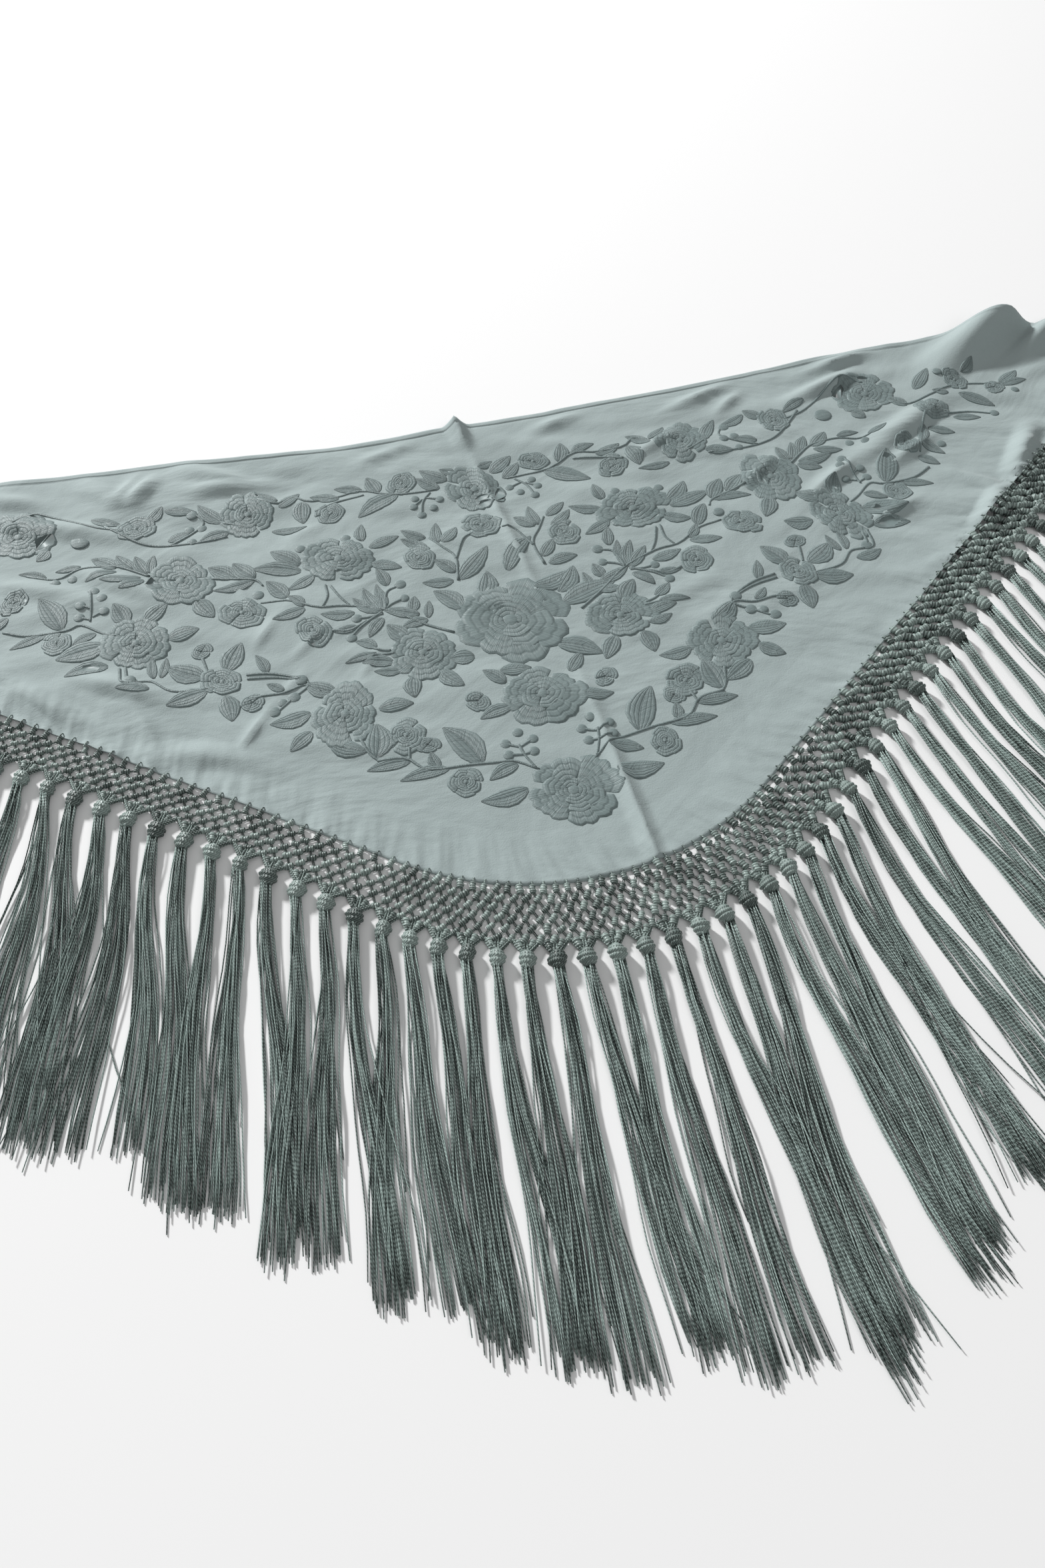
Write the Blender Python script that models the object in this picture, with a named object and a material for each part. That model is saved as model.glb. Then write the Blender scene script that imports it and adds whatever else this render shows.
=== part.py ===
"""A fringed and embroidered flamenco shawl, laid flat on a surface.

The cloth is a wide triangle with a rounded point: a straight top edge, two short
sides and a round point towards -Y.  Along the short sides and the point runs a
knotted net, and each tassel of the fringe hangs from a wrapped head below it.
Every piece is a slab that follows the soft folds of the cloth: its underside lies
at the height that lift_at gives, which is zero wherever the cloth rests.

Units are metres.  +X runs along the top edge, +Y points from the fringe to the
top edge and +Z is up.  The origin is on the surface under the middle of the whole.
"""

import math

import bmesh
import bpy
import numpy as np
from mathutils import Vector
from mathutils.geometry import delaunay_2d_cdt

# Cut of the cloth
HALF_WIDTH = 0.700
DEPTH = 0.476
POINT_RADIUS = 0.210
TOP_EDGE_Y = 0.3855
WALL = 0.0013

# Course of the top edge, which bows a little: x, y
TOP_EDGE = (
    (-0.700, 0.000),
    (-0.520, 0.012),
    (-0.400, 0.016),
    (-0.270, 0.007),
    (-0.160, -0.007),
    (-0.040, -0.012),
    (0.070, -0.010),
    (0.180, -0.004),
    (0.300, 0.003),
    (0.450, 0.006),
    (0.700, 0.000),
)

# Seams, net and fringe
SEAM = 0.0003
NET_WALL = 0.0012
NET_SIDE_WIDTH = 0.027
NET_POINT_WIDTH = 0.041
NET_POINT_REACH = 0.30
NET_RELIEF = 0.0012
NET_ROWS = 3
TASSELS = 84
TASSELS_PER_STRIP = 7
POINT_CROWDING = 1.13
STRIP_WIDTH = 0.0026
STRIP_WALL = 0.0016
NECK_LENGTH = 0.0075
NECK_HALF_WIDTH = 0.0050
HEAD_LENGTH = 0.0100
HEAD_HALF_WIDTH = 0.0046
HEAD_HEIGHT = 0.0066
THROAT_HALF_WIDTH = 0.0024
THROAT_HEIGHT = 0.0034
LOCKS = 3
CORNER_LOCKS = 2
LOCK_SEGMENTS = 4
LOCK_PITCH_ROOT = 0.0027
LOCK_PITCH_TIP = 0.0052
LOCK_CLEARANCE = 0.0005
LOCK_HALF_WIDTH = 0.0018
LOCK_HEIGHT = 0.0030
LOCK_FULL_SHARE = 0.9
TIP_HALF_WIDTH = 0.0007
TIP_HEIGHT = 0.0012
THROAT_SHARE = 0.75
CROWN_SHARE = 0.35
ROOT_SHARE = 0.45

# Uneven growth of the tassels: each is an amount times a sine of the tassel's or the
# lock's number, so that neighbours differ
SWAY_DEGREES = 0.5
SWAY_STEP = 1.9
LENGTH_UNEVEN = 0.025
LENGTH_STEP = 2.4
OUTER_SHORTER = 0.035
LOCK_UNEVEN = 0.012
LOCK_TASSEL_STEP = 3.1
LOCK_STEP = 2.0
WAVE_HEIGHT = 0.0004
WAVE_ALONG = 5.0
WAVE_STEP = 1.3

# Relief on the cloth
HEM_WIDTH = 0.005
HEM_RAISE = 0.0005
BLOOM_RAISE = 0.0007
BLOOM_SLOPE = 0.16
BLOOM_MIDDLE = 0.55

# Soft folds: start x, y and end x, y from the middle of the top edge,
# height, half width, and where along its length the fold is highest (0 to 1).
# FOLD_START is how far before its start a fold begins to rise, as a share of its length.
FOLDS = (
    (0.000, 0.004, 0.008, -0.060, 0.0120, 0.012, 0.15),
    (0.007, -0.046, 0.030, -0.300, 0.0042, 0.009, 0.25),
    (0.030, -0.270, 0.037, -0.500, 0.0060, 0.010, 0.80),
    (-0.330, 0.004, -0.288, -0.034, 0.0045, 0.013, 0.70),
    (-0.294, -0.038, -0.262, 0.004, 0.0060, 0.012, 0.35),
    (-0.238, -0.005, -0.150, -0.060, 0.0065, 0.015, 0.45),
    (-0.100, -0.040, -0.028, -0.022, 0.0045, 0.012, 0.50),
    (-0.410, 0.000, -0.335, -0.028, 0.0040, 0.014, 0.50),
    (-0.400, -0.030, -0.230, -0.098, 0.0042, 0.015, 0.40),
    (-0.165, -0.114, -0.118, -0.100, 0.0026, 0.010, 0.50),
    (-0.390, -0.102, -0.300, -0.150, 0.0032, 0.013, 0.40),
    (-0.395, -0.180, -0.335, -0.275, 0.0040, 0.013, 0.60),
    (-0.300, -0.230, -0.262, -0.330, 0.0028, 0.011, 0.50),
    (0.548, 0.018, 0.400, -0.062, 0.0260, 0.031, 0.12),
    (0.605, 0.008, 0.512, -0.046, 0.0140, 0.018, 0.40),
    (0.398, -0.001, 0.300, -0.018, 0.0062, 0.011, 0.35),
    (0.376, -0.024, 0.272, -0.055, 0.0078, 0.013, 0.35),
    (0.258, -0.010, 0.165, -0.042, 0.0062, 0.012, 0.35),
    (0.264, -0.022, 0.220, -0.056, 0.0042, 0.010, 0.40),
    (0.432, -0.082, 0.286, -0.152, 0.0075, 0.018, 0.25),
    (0.406, -0.122, 0.330, -0.158, 0.0050, 0.012, 0.40),
    (0.378, -0.160, 0.434, -0.202, 0.0042, 0.010, 0.70),
    (0.494, -0.128, 0.430, -0.204, 0.0095, 0.015, 0.45),
    (0.430, -0.198, 0.372, -0.254, 0.0080, 0.014, 0.40),
    (-0.660, -0.004, -0.470, -0.064, 0.0070, 0.022, 0.40),
    (-0.560, -0.030, -0.480, -0.130, 0.0040, 0.016, 0.50),
    (0.672, -0.010, 0.575, -0.060, 0.0060, 0.017, 0.45),
)
FOLD_START = 0.12

# Lean of the fringe, in degrees from -Y towards +X: x of the tassel's head,
# lean at its root, lean at its tip, length of its strands
FRINGE = (
    (-0.75, -26.0, -30.0, 0.215),
    (-0.35, -11.0, -17.0, 0.222),
    (-0.25, -9.0, -8.0, 0.222),
    (-0.13, -7.0, -5.0, 0.215),
    (-0.03, -5.0, -3.0, 0.236),
    (0.04, -4.0, 5.0, 0.252),
    (0.12, -3.0, 9.0, 0.258),
    (0.20, 3.0, 18.0, 0.248),
    (0.27, 4.0, 24.0, 0.236),
    (0.45, 11.0, 27.0, 0.230),
    (0.75, 26.0, 32.0, 0.215),
)

# Embroidered blooms raised on the cloth: x, y from the middle of the top edge,
# radius, number of petals.  Those off the axis are mirrored.
BLOOMS = (
    (0.001, -0.091, 0.024, 7),
    (-0.003, -0.135, 0.014, 6),
    (-0.006, -0.241, 0.039, 8),
    (-0.001, -0.318, 0.026, 7),
    (-0.002, -0.405, 0.028, 8),
    (0.122, -0.146, 0.025, 7),
    (0.203, -0.183, 0.014, 5),
    (0.153, -0.216, 0.012, 5),
    (0.246, -0.137, 0.024, 7),
    (0.284, -0.195, 0.023, 7),
    (0.225, -0.248, 0.014, 6),
    (0.143, -0.301, 0.025, 7),
    (0.104, -0.331, 0.013, 5),
    (0.077, -0.257, 0.022, 6),
    (0.186, -0.076, 0.021, 6),
    (0.368, -0.055, 0.025, 7),
    (0.276, -0.069, 0.013, 5),
    (0.372, -0.130, 0.011, 5),
    (0.416, -0.091, 0.014, 6),
)
AXIS_BAND = 0.02
PETAL_DEPTH = 0.12

# How closely each surface is divided
TOP_EDGE_PARTS = 56
BASE_SPACING = 0.070
FOLD_STEP = 0.024
FOLD_ACROSS = (-1.0, -0.5, 0.0, 0.5, 1.0)
ROW_CROWDING = 1.15
LEAST_SPACING = 0.006
EDGE_MARGIN = 1.6 * HEM_WIDTH
LENGTH_SAMPLES = 2000
EDGE_TOLERANCE = 1e-5
MERGE_DISTANCE = 1e-6
KEEP_INSIDE = 1

CLOTH_COLOUR = (0.36, 0.43, 0.41, 1.0)
NET_COLOUR = (0.13, 0.19, 0.17, 1.0)
CLOTH_ROUGHNESS = 0.8
NET_ROUGHNESS = 0.7
FRINGE_ROUGHNESS = 0.6


def side_angle():
    """Angle between the top edge and a short side, from the cut of the cloth."""
    below = DEPTH - POINT_RADIUS
    reach = math.hypot(HALF_WIDTH, below)
    return math.atan2(below, HALF_WIDTH) + math.asin(POINT_RADIUS / reach)


SIDE_ANGLE = side_angle()
SIDE_LENGTH = math.sqrt(HALF_WIDTH ** 2 + (DEPTH - POINT_RADIUS) ** 2 - POINT_RADIUS ** 2)
ARC_LENGTH = 2.0 * SIDE_ANGLE * POINT_RADIUS
HEM_LENGTH = 2.0 * SIDE_LENGTH + ARC_LENGTH


def hem_at(run, out):
    """Points and outward directions at lengths `run` along the hem, moved `out` outwards.

    The hem starts at the left corner, follows the left side, the round point and
    the right side.  The point is a circle that both sides touch.
    """
    run = np.asarray(run, dtype=float)
    turned = np.clip((run - SIDE_LENGTH) / POINT_RADIUS, 0.0, 2.0 * SIDE_ANGLE) - SIDE_ANGLE
    normal = np.stack([np.sin(turned), -np.cos(turned)], axis=-1)
    tangent = np.stack([np.cos(turned), np.sin(turned)], axis=-1)
    centre = np.array([0.0, POINT_RADIUS - DEPTH])
    before = np.minimum(run - SIDE_LENGTH, 0.0)
    after = np.maximum(run - SIDE_LENGTH - ARC_LENGTH, 0.0)
    along = (before + after)[..., None] * tangent
    reach = (POINT_RADIUS + np.asarray(out, dtype=float))[..., None] * normal
    return centre + along + reach, normal


def net_width(run):
    """Width of the knotted net, which grows smoothly towards the point."""
    off = np.abs(np.asarray(run, dtype=float) - 0.5 * HEM_LENGTH) / NET_POINT_REACH
    swell = 0.5 + 0.5 * np.cos(np.pi * np.clip(off, 0.0, 1.0))
    return NET_SIDE_WIDTH + (NET_POINT_WIDTH - NET_SIDE_WIDTH) * swell


def tassel_runs(parts):
    """Lengths along the hem that divide it into `parts` equal shares of tassels."""
    run = np.linspace(0.0, HEM_LENGTH, LENGTH_SAMPLES)
    head = net_width(run) + STRIP_WIDTH + NECK_LENGTH + 0.5 * HEAD_LENGTH
    on_arc = np.abs(run - 0.5 * HEM_LENGTH) < 0.5 * ARC_LENGTH
    share = np.where(on_arc, POINT_CROWDING * (1.0 + head / POINT_RADIUS), 1.0)
    total = np.concatenate([[0.0], np.cumsum(0.5 * (share[1:] + share[:-1]))])
    return np.interp(np.linspace(0.0, total[-1], parts + 1), total, run)


def lift_at(points):
    """Height of the underside: the highest of the soft folds at each plan point.

    Across a fold the height falls off as a squared cosine, and along it the height
    rises to the place of its crest and falls again, so it has no sharp ends.
    """
    points = np.asarray(points, dtype=float)
    height = np.zeros(points.shape[:-1])
    for x0, y0, x1, y1, crest, half, place in FOLDS:
        start = np.array([x0, y0])
        way = np.array([x1, y1]) - start
        length = math.hypot(*way)
        way = way / length
        offset = points - start
        along = offset @ way / length
        across = offset[..., 0] * way[1] - offset[..., 1] * way[0]
        before = (along + FOLD_START) / (place + FOLD_START)
        rise = np.where(along < place, before, (1.0 - along) / (1.0 - place))
        rise = np.clip(rise, 0.0, 1.0)
        side = np.clip(np.abs(across) / half, 0.0, 1.0)
        shape = crest * np.sin(0.5 * np.pi * rise) ** 2 * np.cos(0.5 * np.pi * side) ** 2
        height = np.maximum(height, shape)
    return height


def all_blooms():
    """The blooms of the table with the mirrored ones added."""
    found = []
    for x, y, radius, petals in BLOOMS:
        found.append((x, y, radius, petals))
        if abs(x) > AXIS_BAND:
            found.append((-x, y, radius, petals))
    return found


def bloom_edge(radius, petals, angle):
    """Radius of a bloom's outline at an angle: a circle with a soft bay between petals."""
    return radius * (1.0 - PETAL_DEPTH * (0.5 - 0.5 * np.cos(petals * angle)))


def raise_at(points):
    """Height that the embroidery adds: flat-topped blooms with sloping edges."""
    height = np.zeros(len(points))
    for x, y, radius, petals in all_blooms():
        offset = points - np.array([x, y])
        angle = np.arctan2(offset[:, 1], offset[:, 0])
        reach = np.hypot(offset[:, 0], offset[:, 1]) / bloom_edge(radius, petals, angle)
        slope = np.clip((1.0 - reach) / BLOOM_SLOPE, 0.0, 1.0)
        height = np.maximum(height, BLOOM_RAISE * slope)
    return height


def set_out(points):
    """Plan points moved from the middle of the top edge to the part's own frame."""
    return np.asarray(points, dtype=float) + np.array([0.0, TOP_EDGE_Y])


def make_object(name, vertices, faces, colour, roughness):
    """One named object with its material, its faces turned outwards and made triangles."""
    mesh = bpy.data.meshes.new(name)
    mesh.from_pydata([tuple(v) for v in vertices], [], [tuple(f) for f in faces])
    body = bmesh.new()
    body.from_mesh(mesh)
    bmesh.ops.recalc_face_normals(body, faces=body.faces)
    bmesh.ops.triangulate(body, faces=[f for f in body.faces if len(f.verts) > 3])
    body.to_mesh(mesh)
    body.free()
    material = bpy.data.materials.new(name + "_finish")
    material.use_nodes = True
    shader = material.node_tree.nodes["Principled BSDF"]
    shader.inputs["Base Color"].default_value = colour
    shader.inputs["Roughness"].default_value = roughness
    shader.inputs["Metallic"].default_value = 0.0
    mesh.materials.append(material)
    built = bpy.data.objects.new(name, mesh)
    bpy.context.collection.objects.link(built)
    return built


def top_edge_y(x):
    """How far the top edge lies from its straight line, at each x."""
    table = np.array(TOP_EDGE)
    return np.interp(x, table[:, 0], table[:, 1])


def cloth_outline():
    """Outline of the cloth: the hem from left to right, then the top edge back."""
    hem, _ = hem_at(tassel_runs(TASSELS), 0.0)
    x = np.linspace(HALF_WIDTH, -HALF_WIDTH, TOP_EDGE_PARTS + 1)[1:-1]
    top = np.stack([x, top_edge_y(x)], axis=-1)
    return np.concatenate([hem, top])


def inside(points, margin):
    """Whether plan points lie inside the cloth, at least `margin` from its edges."""
    x = np.abs(points[:, 0])
    y = points[:, 1]
    side = (HALF_WIDTH - x) * math.sin(SIDE_ANGLE) + y * math.cos(SIDE_ANGLE)
    tangent_x = POINT_RADIUS * math.sin(SIDE_ANGLE)
    round_part = POINT_RADIUS - np.hypot(x, y - (POINT_RADIUS - DEPTH))
    near_point = (x < tangent_x) & (y < POINT_RADIUS - DEPTH)
    below_edge = y < top_edge_y(points[:, 0]) - margin
    return below_edge & np.where(near_point, round_part > margin, side > margin)


def spread_points():
    """Inner points of the cloth: rows along each fold, then a wide even spread."""
    found = []
    for x0, y0, x1, y1, _, half, _ in FOLDS:
        length = math.hypot(x1 - x0, y1 - y0)
        steps = max(3, round(length / FOLD_STEP))
        along = np.linspace(0.0, 1.0, steps + 1)
        way = np.array([x1 - x0, y1 - y0]) / length
        normal = np.array([-way[1], way[0]])
        for share in FOLD_ACROSS:
            row = np.array([x0, y0]) + np.outer(along * length, way) + share * half * normal
            found.extend(row)
    rows = round(DEPTH / BASE_SPACING * ROW_CROWDING)
    for row in range(rows + 1):
        y = -DEPTH * (row + 0.5) / (rows + 1)
        shift = 0.5 * BASE_SPACING * (row % 2)
        for x in np.arange(-HALF_WIDTH + shift, HALF_WIDTH, BASE_SPACING):
            found.append(np.array([x, y]))
    found = np.array(found)
    return found[inside(found, EDGE_MARGIN)]


def thin_out(points, taken):
    """The points that keep the least spacing to one another and to those taken."""
    kept = [np.asarray(p) for p in taken]
    fresh = []
    for point in points:
        gap = np.hypot(*(np.array(kept) - point).T).min()
        if gap > LEAST_SPACING:
            kept.append(point)
            fresh.append(point)
    return np.array(fresh)


def triangulate(outline, points, rings):
    """Triangles that fill the outline, with the points and closed rings as corners."""
    corners = [Vector(p) for p in outline] + [Vector(p) for p in points]
    edges = []
    for ring in rings:
        first = len(corners)
        corners.extend(Vector(p) for p in ring)
        count = len(ring)
        edges.extend((first + k, first + (k + 1) % count) for k in range(count))
    face = list(range(len(outline)))
    found, _, triangles, _, _, _ = delaunay_2d_cdt(corners, edges, [face], KEEP_INSIDE, MERGE_DISTANCE)
    return np.array([tuple(p) for p in found]), [tuple(t) for t in triangles]


def bloom_rings():
    """Outer and inner ring of each bloom, with two points for each petal."""
    rings = []
    for x, y, radius, petals in all_blooms():
        angle = np.linspace(0.0, 2.0 * np.pi, 2 * petals, endpoint=False)
        way = np.stack([np.cos(angle), np.sin(angle)], axis=-1)
        edge = bloom_edge(radius, petals, angle)[:, None] * way
        for share in (1.0, 1.0 - BLOOM_SLOPE):
            rings.append(np.array([x, y]) + share * edge)
    return rings


def clear_of_blooms(points):
    """The points that lie outside every bloom by a little more than its edge."""
    keep = np.ones(len(points), dtype=bool)
    for x, y, radius, _ in all_blooms():
        away = np.hypot(points[:, 0] - x, points[:, 1] - y)
        keep &= (away > radius + 0.5 * LEAST_SPACING) | (away < BLOOM_MIDDLE * radius)
    return points[keep]


def hem_line():
    """Inner line of the narrow hem along the top edge."""
    step = 2.0 * HALF_WIDTH / TOP_EDGE_PARTS
    x = np.arange(-HALF_WIDTH + 1.5 * step, HALF_WIDTH - step, step)
    return np.stack([x, top_edge_y(x) - HEM_WIDTH], axis=-1)


def shawl_cloth():
    """The cloth: one wall thick all over, with the blooms and the hem raised on top."""
    outline = cloth_outline()
    taken = np.concatenate([outline, hem_line()])
    inner = thin_out(clear_of_blooms(spread_points()), taken)
    inner = np.concatenate([inner, hem_line()])
    plan, triangles = triangulate(outline, inner, bloom_rings())
    low = lift_at(plan)
    on_top_edge = np.abs(plan[:, 1] - top_edge_y(plan[:, 0])) < EDGE_TOLERANCE
    high = low + WALL + raise_at(plan) + HEM_RAISE * on_top_edge
    spots = set_out(plan)
    vertices = np.concatenate([np.column_stack([spots, low]), np.column_stack([spots, high])])
    layer = len(plan)
    faces = [tuple(reversed(t)) for t in triangles]
    faces += [tuple(layer + k for k in t) for t in triangles]
    rim = edge_order(plan, outline)
    for here, after in zip(rim, np.roll(rim, -1)):
        faces.append((here, after, after + layer, here + layer))
    return make_object("shawl_cloth", vertices, faces, CLOTH_COLOUR, CLOTH_ROUGHNESS)


def edge_order(plan, outline):
    """Place of each outline point in a triangulated plan."""
    away = np.hypot(plan[None, :, 0] - outline[:, None, 0], plan[None, :, 1] - outline[:, None, 1])
    return np.argmin(away, axis=1)


def grid_slab(name, plan, low, high, colour):
    """Closed slab over a grid of plan points, with heights of its two faces.

    The diagonals join the corners whose column and row add up to an even number,
    where the net has its knots, so the cords between the knots stand up as ridges.
    """
    rows, columns = low.shape
    spots = set_out(plan.reshape(-1, 2))
    vertices = np.concatenate([
        np.column_stack([spots, low.ravel()]),
        np.column_stack([spots, high.ravel()]),
    ])
    layer = rows * columns
    faces = []
    for r in range(rows - 1):
        for c in range(columns - 1):
            a = r * columns + c
            b = a + 1
            d = a + columns
            e = d + 1
            if (r + c) % 2 == 0:
                pair = ((a, b, e), (a, e, d))
            else:
                pair = ((a, b, d), (b, e, d))
            for tri in pair:
                faces.append(tuple(reversed(tri)))
                faces.append(tuple(k + layer for k in tri))
    rim = [c for c in range(columns)]
    rim += [r * columns + columns - 1 for r in range(1, rows)]
    rim += [(rows - 1) * columns + c for c in range(columns - 2, -1, -1)]
    rim += [r * columns for r in range(rows - 2, 0, -1)]
    for k, here in enumerate(rim):
        after = rim[(k + 1) % len(rim)]
        faces.append((here, after, after + layer, here + layer))
    return make_object(name, vertices, faces, colour, NET_ROUGHNESS)


def shawl_net(name, first, last):
    """One stretch of the knotted net, between two tassels, as an uncut strip.

    Its knots are raised where column and row add up to an even number.
    """
    run = tassel_runs(2 * TASSELS)[2 * first:2 * last + 1].copy()
    run[0] += 0.5 * SEAM
    run[-1] -= 0.5 * SEAM
    share = np.linspace(0.0, 1.0, NET_ROWS + 1)
    out = SEAM + share[:, None] * (net_width(run)[None, :] - SEAM)
    plan, _ = hem_at(np.broadcast_to(run, out.shape), out)
    low = lift_at(plan)
    row, column = np.indices(out.shape)
    knots = (row + column) % 2 == 0
    high = low + NET_WALL + NET_RELIEF * knots
    return grid_slab(name, plan, low, high, NET_COLOUR)


def fringe_course(x):
    """Lean at the root, lean at the tip and strand length of a tassel at x."""
    table = np.array(FRINGE)
    return [float(np.interp(x, table[:, 0], table[:, k])) for k in (1, 2, 3)]


def heading(lean):
    """Direction in plan of a lean in degrees from -Y towards +X."""
    return np.array([math.sin(math.radians(lean)), -math.cos(math.radians(lean))])


def beside(way):
    """Direction to the right of a heading, seen from above with the fringe below."""
    return np.array([-way[1], way[0]])


class Body:
    """Vertices and faces of one closed piece, added a section at a time."""

    def __init__(self):
        self.vertices = []
        self.faces = []

    def point(self, plan, height):
        """Add one vertex and return its number."""
        spot = set_out(plan)
        self.vertices.append((spot[0], spot[1], height))
        return len(self.vertices) - 1

    def section(self, centre, right, half, low, high):
        """Four corners across a tassel: left and right below, right and left above."""
        left_spot = centre - right * half
        right_spot = centre + right * half
        return [
            self.point(left_spot, low),
            self.point(right_spot, low),
            self.point(right_spot, high),
            self.point(left_spot, high),
        ]

    def join(self, one, two):
        """Side faces between two sections with the same number of corners."""
        count = len(one)
        for k in range(count):
            after = (k + 1) % count
            self.faces.append((one[k], one[after], two[after], two[k]))


def tassel_path(index, start, lean_root, lean_tip, length):
    """Plan points, headings and shares of a tassel's middle line.

    The lean turns evenly from root to tip, with a slight wave.
    """
    share = np.linspace(0.0, 1.0, LOCK_SEGMENTS + 1)
    middle = 0.5 * (share[1:] + share[:-1])
    lean = lean_root + (lean_tip - lean_root) * middle + SWAY_DEGREES * math.sin(SWAY_STEP * index)
    steps = np.array([heading(value) for value in lean]) * length / LOCK_SEGMENTS
    spots = np.concatenate([[start], start + np.cumsum(steps, axis=0)])
    leans = lean_root + (lean_tip - lean_root) * share
    return spots, [heading(value) for value in leans], share


def add_locks(body, index, start, course, roots):
    """Three-sided locks that run from their roots in a head to fine tips."""
    lean_root, lean_tip, length = course
    length = length * (1.0 + LENGTH_UNEVEN * math.sin(LENGTH_STEP * index))
    spots, ways, shares = tassel_path(index, start, lean_root, lean_tip, length)
    count = len(roots)
    for k, root in enumerate(roots):
        place = k - 0.5 * (count - 1)
        turn = LOCK_TASSEL_STEP * index + LOCK_STEP * k
        stretch = 1.0 - OUTER_SHORTER * abs(place) + LOCK_UNEVEN * math.sin(turn)
        ring = root
        for spot, way, share in list(zip(spots, ways, shares))[1:]:
            right = beside(way)
            pitch = LOCK_PITCH_ROOT + (LOCK_PITCH_TIP - LOCK_PITCH_ROOT) * share
            spot = start + (spot - start) * stretch + right * place * pitch
            half = LOCK_HALF_WIDTH if share < LOCK_FULL_SHARE else TIP_HALF_WIDTH
            tall = LOCK_HEIGHT if share < LOCK_FULL_SHARE else TIP_HEIGHT
            wave = WAVE_HEIGHT * math.sin(WAVE_ALONG * share + WAVE_STEP * index + k)
            low = LOCK_CLEARANCE
            following = [
                body.point(spot - right * half, low),
                body.point(spot + right * half, low),
                body.point(spot, low + tall + wave),
            ]
            body.join(ring, following)
            ring = following
        body.faces.append(tuple(ring))


def add_tassel(body, index, run, left, right_side, locks):
    """Neck, wrapped head and locks of one tassel, grown from the strip's outer edge.

    `left` and `right_side` are the strip's corners (below, above) on either side.
    """
    spot, normal = hem_at(run, net_width(run) + STRIP_WIDTH)
    course = fringe_course(float(spot[0]))
    way = normal + heading(course[0])
    way = way / np.hypot(*way)
    side = beside(way)
    low = LOCK_CLEARANCE
    ring = [left[0], right_side[0], right_side[1], left[1]]
    throat = spot + way * THROAT_SHARE * NECK_LENGTH
    sections = (
        (throat, THROAT_HALF_WIDTH, 0.0, THROAT_HEIGHT),
        (spot + way * (NECK_LENGTH + CROWN_SHARE * HEAD_LENGTH), HEAD_HALF_WIDTH, 0.0, HEAD_HEIGHT),
    )
    for centre, half, base, high in sections:
        following = body.section(centre, side, half, base, high)
        body.join(ring, following)
        ring = following
    out_way = heading(course[0])
    out_side = beside(out_way)
    end = spot + way * (NECK_LENGTH + HEAD_LENGTH)
    feet = []
    crowns = []
    roots = []
    for k in range(locks):
        place = (k - 0.5 * (locks - 1)) * LOCK_PITCH_ROOT
        half = ROOT_SHARE * LOCK_PITCH_ROOT
        a = body.point(end + out_side * (place - half), low)
        b = body.point(end + out_side * (place + half), low)
        c = body.point(end + out_side * place, low + THROAT_HEIGHT)
        feet.extend([a, b])
        crowns.append(c)
        roots.append([a, b, c])
    below_left, below_right, above_right, above_left = ring
    body.faces.append((below_left, above_left, crowns[0], feet[0]))
    body.faces.append((below_right, feet[-1], crowns[-1], above_right))
    body.faces.append((above_left, above_right, crowns[-1]))
    for k in range(locks - 1):
        body.faces.append((above_left, crowns[k + 1], crowns[k]))
        body.faces.append((crowns[k], crowns[k + 1], feet[2 * k + 2]))
        body.faces.append((crowns[k], feet[2 * k + 2], feet[2 * k + 1]))
    half_way = locks
    for k in range(2 * locks - 1):
        corner = below_left if k + 1 <= half_way else below_right
        body.faces.append((corner, feet[k], feet[k + 1]))
    body.faces.append((below_left, feet[half_way], below_right))
    add_locks(body, index, end, course, roots)


def shawl_fringe(name, first, last):
    """A narrow strip below the net with the heads and locks of its tassels."""
    body = Body()
    bounds = tassel_runs(TASSELS)
    centres = tassel_runs(2 * TASSELS)[1::2]
    start = bounds[first] + 0.5 * SEAM
    end = bounds[last] - 0.5 * SEAM
    stations = [start]
    for index in range(first, last):
        stations.extend([centres[index] - NECK_HALF_WIDTH, centres[index] + NECK_HALF_WIDTH])
    stations.append(end)
    rings = []
    for run in stations:
        near, _ = hem_at(run, net_width(run) + SEAM)
        far, _ = hem_at(run, net_width(run) + STRIP_WIDTH)
        rings.append([
            body.point(near, 0.0),
            body.point(far, 0.0),
            body.point(far, STRIP_WALL),
            body.point(near, STRIP_WALL),
        ])
    body.faces.append(tuple(rings[0]))
    body.faces.append(tuple(rings[-1]))
    for k, (one, two) in enumerate(zip(rings[:-1], rings[1:])):
        body.faces.append((one[0], two[0], two[1], one[1]))
        body.faces.append((one[3], one[2], two[2], two[3]))
        body.faces.append((one[0], one[3], two[3], two[0]))
        if k % 2 == 0:
            body.faces.append((one[1], two[1], two[2], one[2]))
    for index in range(first, last):
        left = rings[2 * (index - first) + 1]
        right_side = rings[2 * (index - first) + 2]
        at_corner = index in (0, TASSELS - 1)
        locks = CORNER_LOCKS if at_corner else LOCKS
        add_tassel(body, index, centres[index], left[1:3], right_side[1:3], locks)
    return make_object(name, body.vertices, body.faces, NET_COLOUR, FRINGE_ROUGHNESS)


def main():
    """Build the whole shawl."""
    for old in list(bpy.data.objects):
        bpy.data.objects.remove(old, do_unlink=True)
    shawl_cloth()
    net_cuts = (0, 3 * TASSELS // 8, 5 * TASSELS // 8, TASSELS)
    for name, first, last in zip(("net_left", "net_point", "net_right"), net_cuts[:-1], net_cuts[1:]):
        shawl_net(name, first, last)
    for number in range(TASSELS // TASSELS_PER_STRIP):
        first = number * TASSELS_PER_STRIP
        shawl_fringe(f"fringe_{number + 1:02d}", first, first + TASSELS_PER_STRIP)


main()
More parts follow.
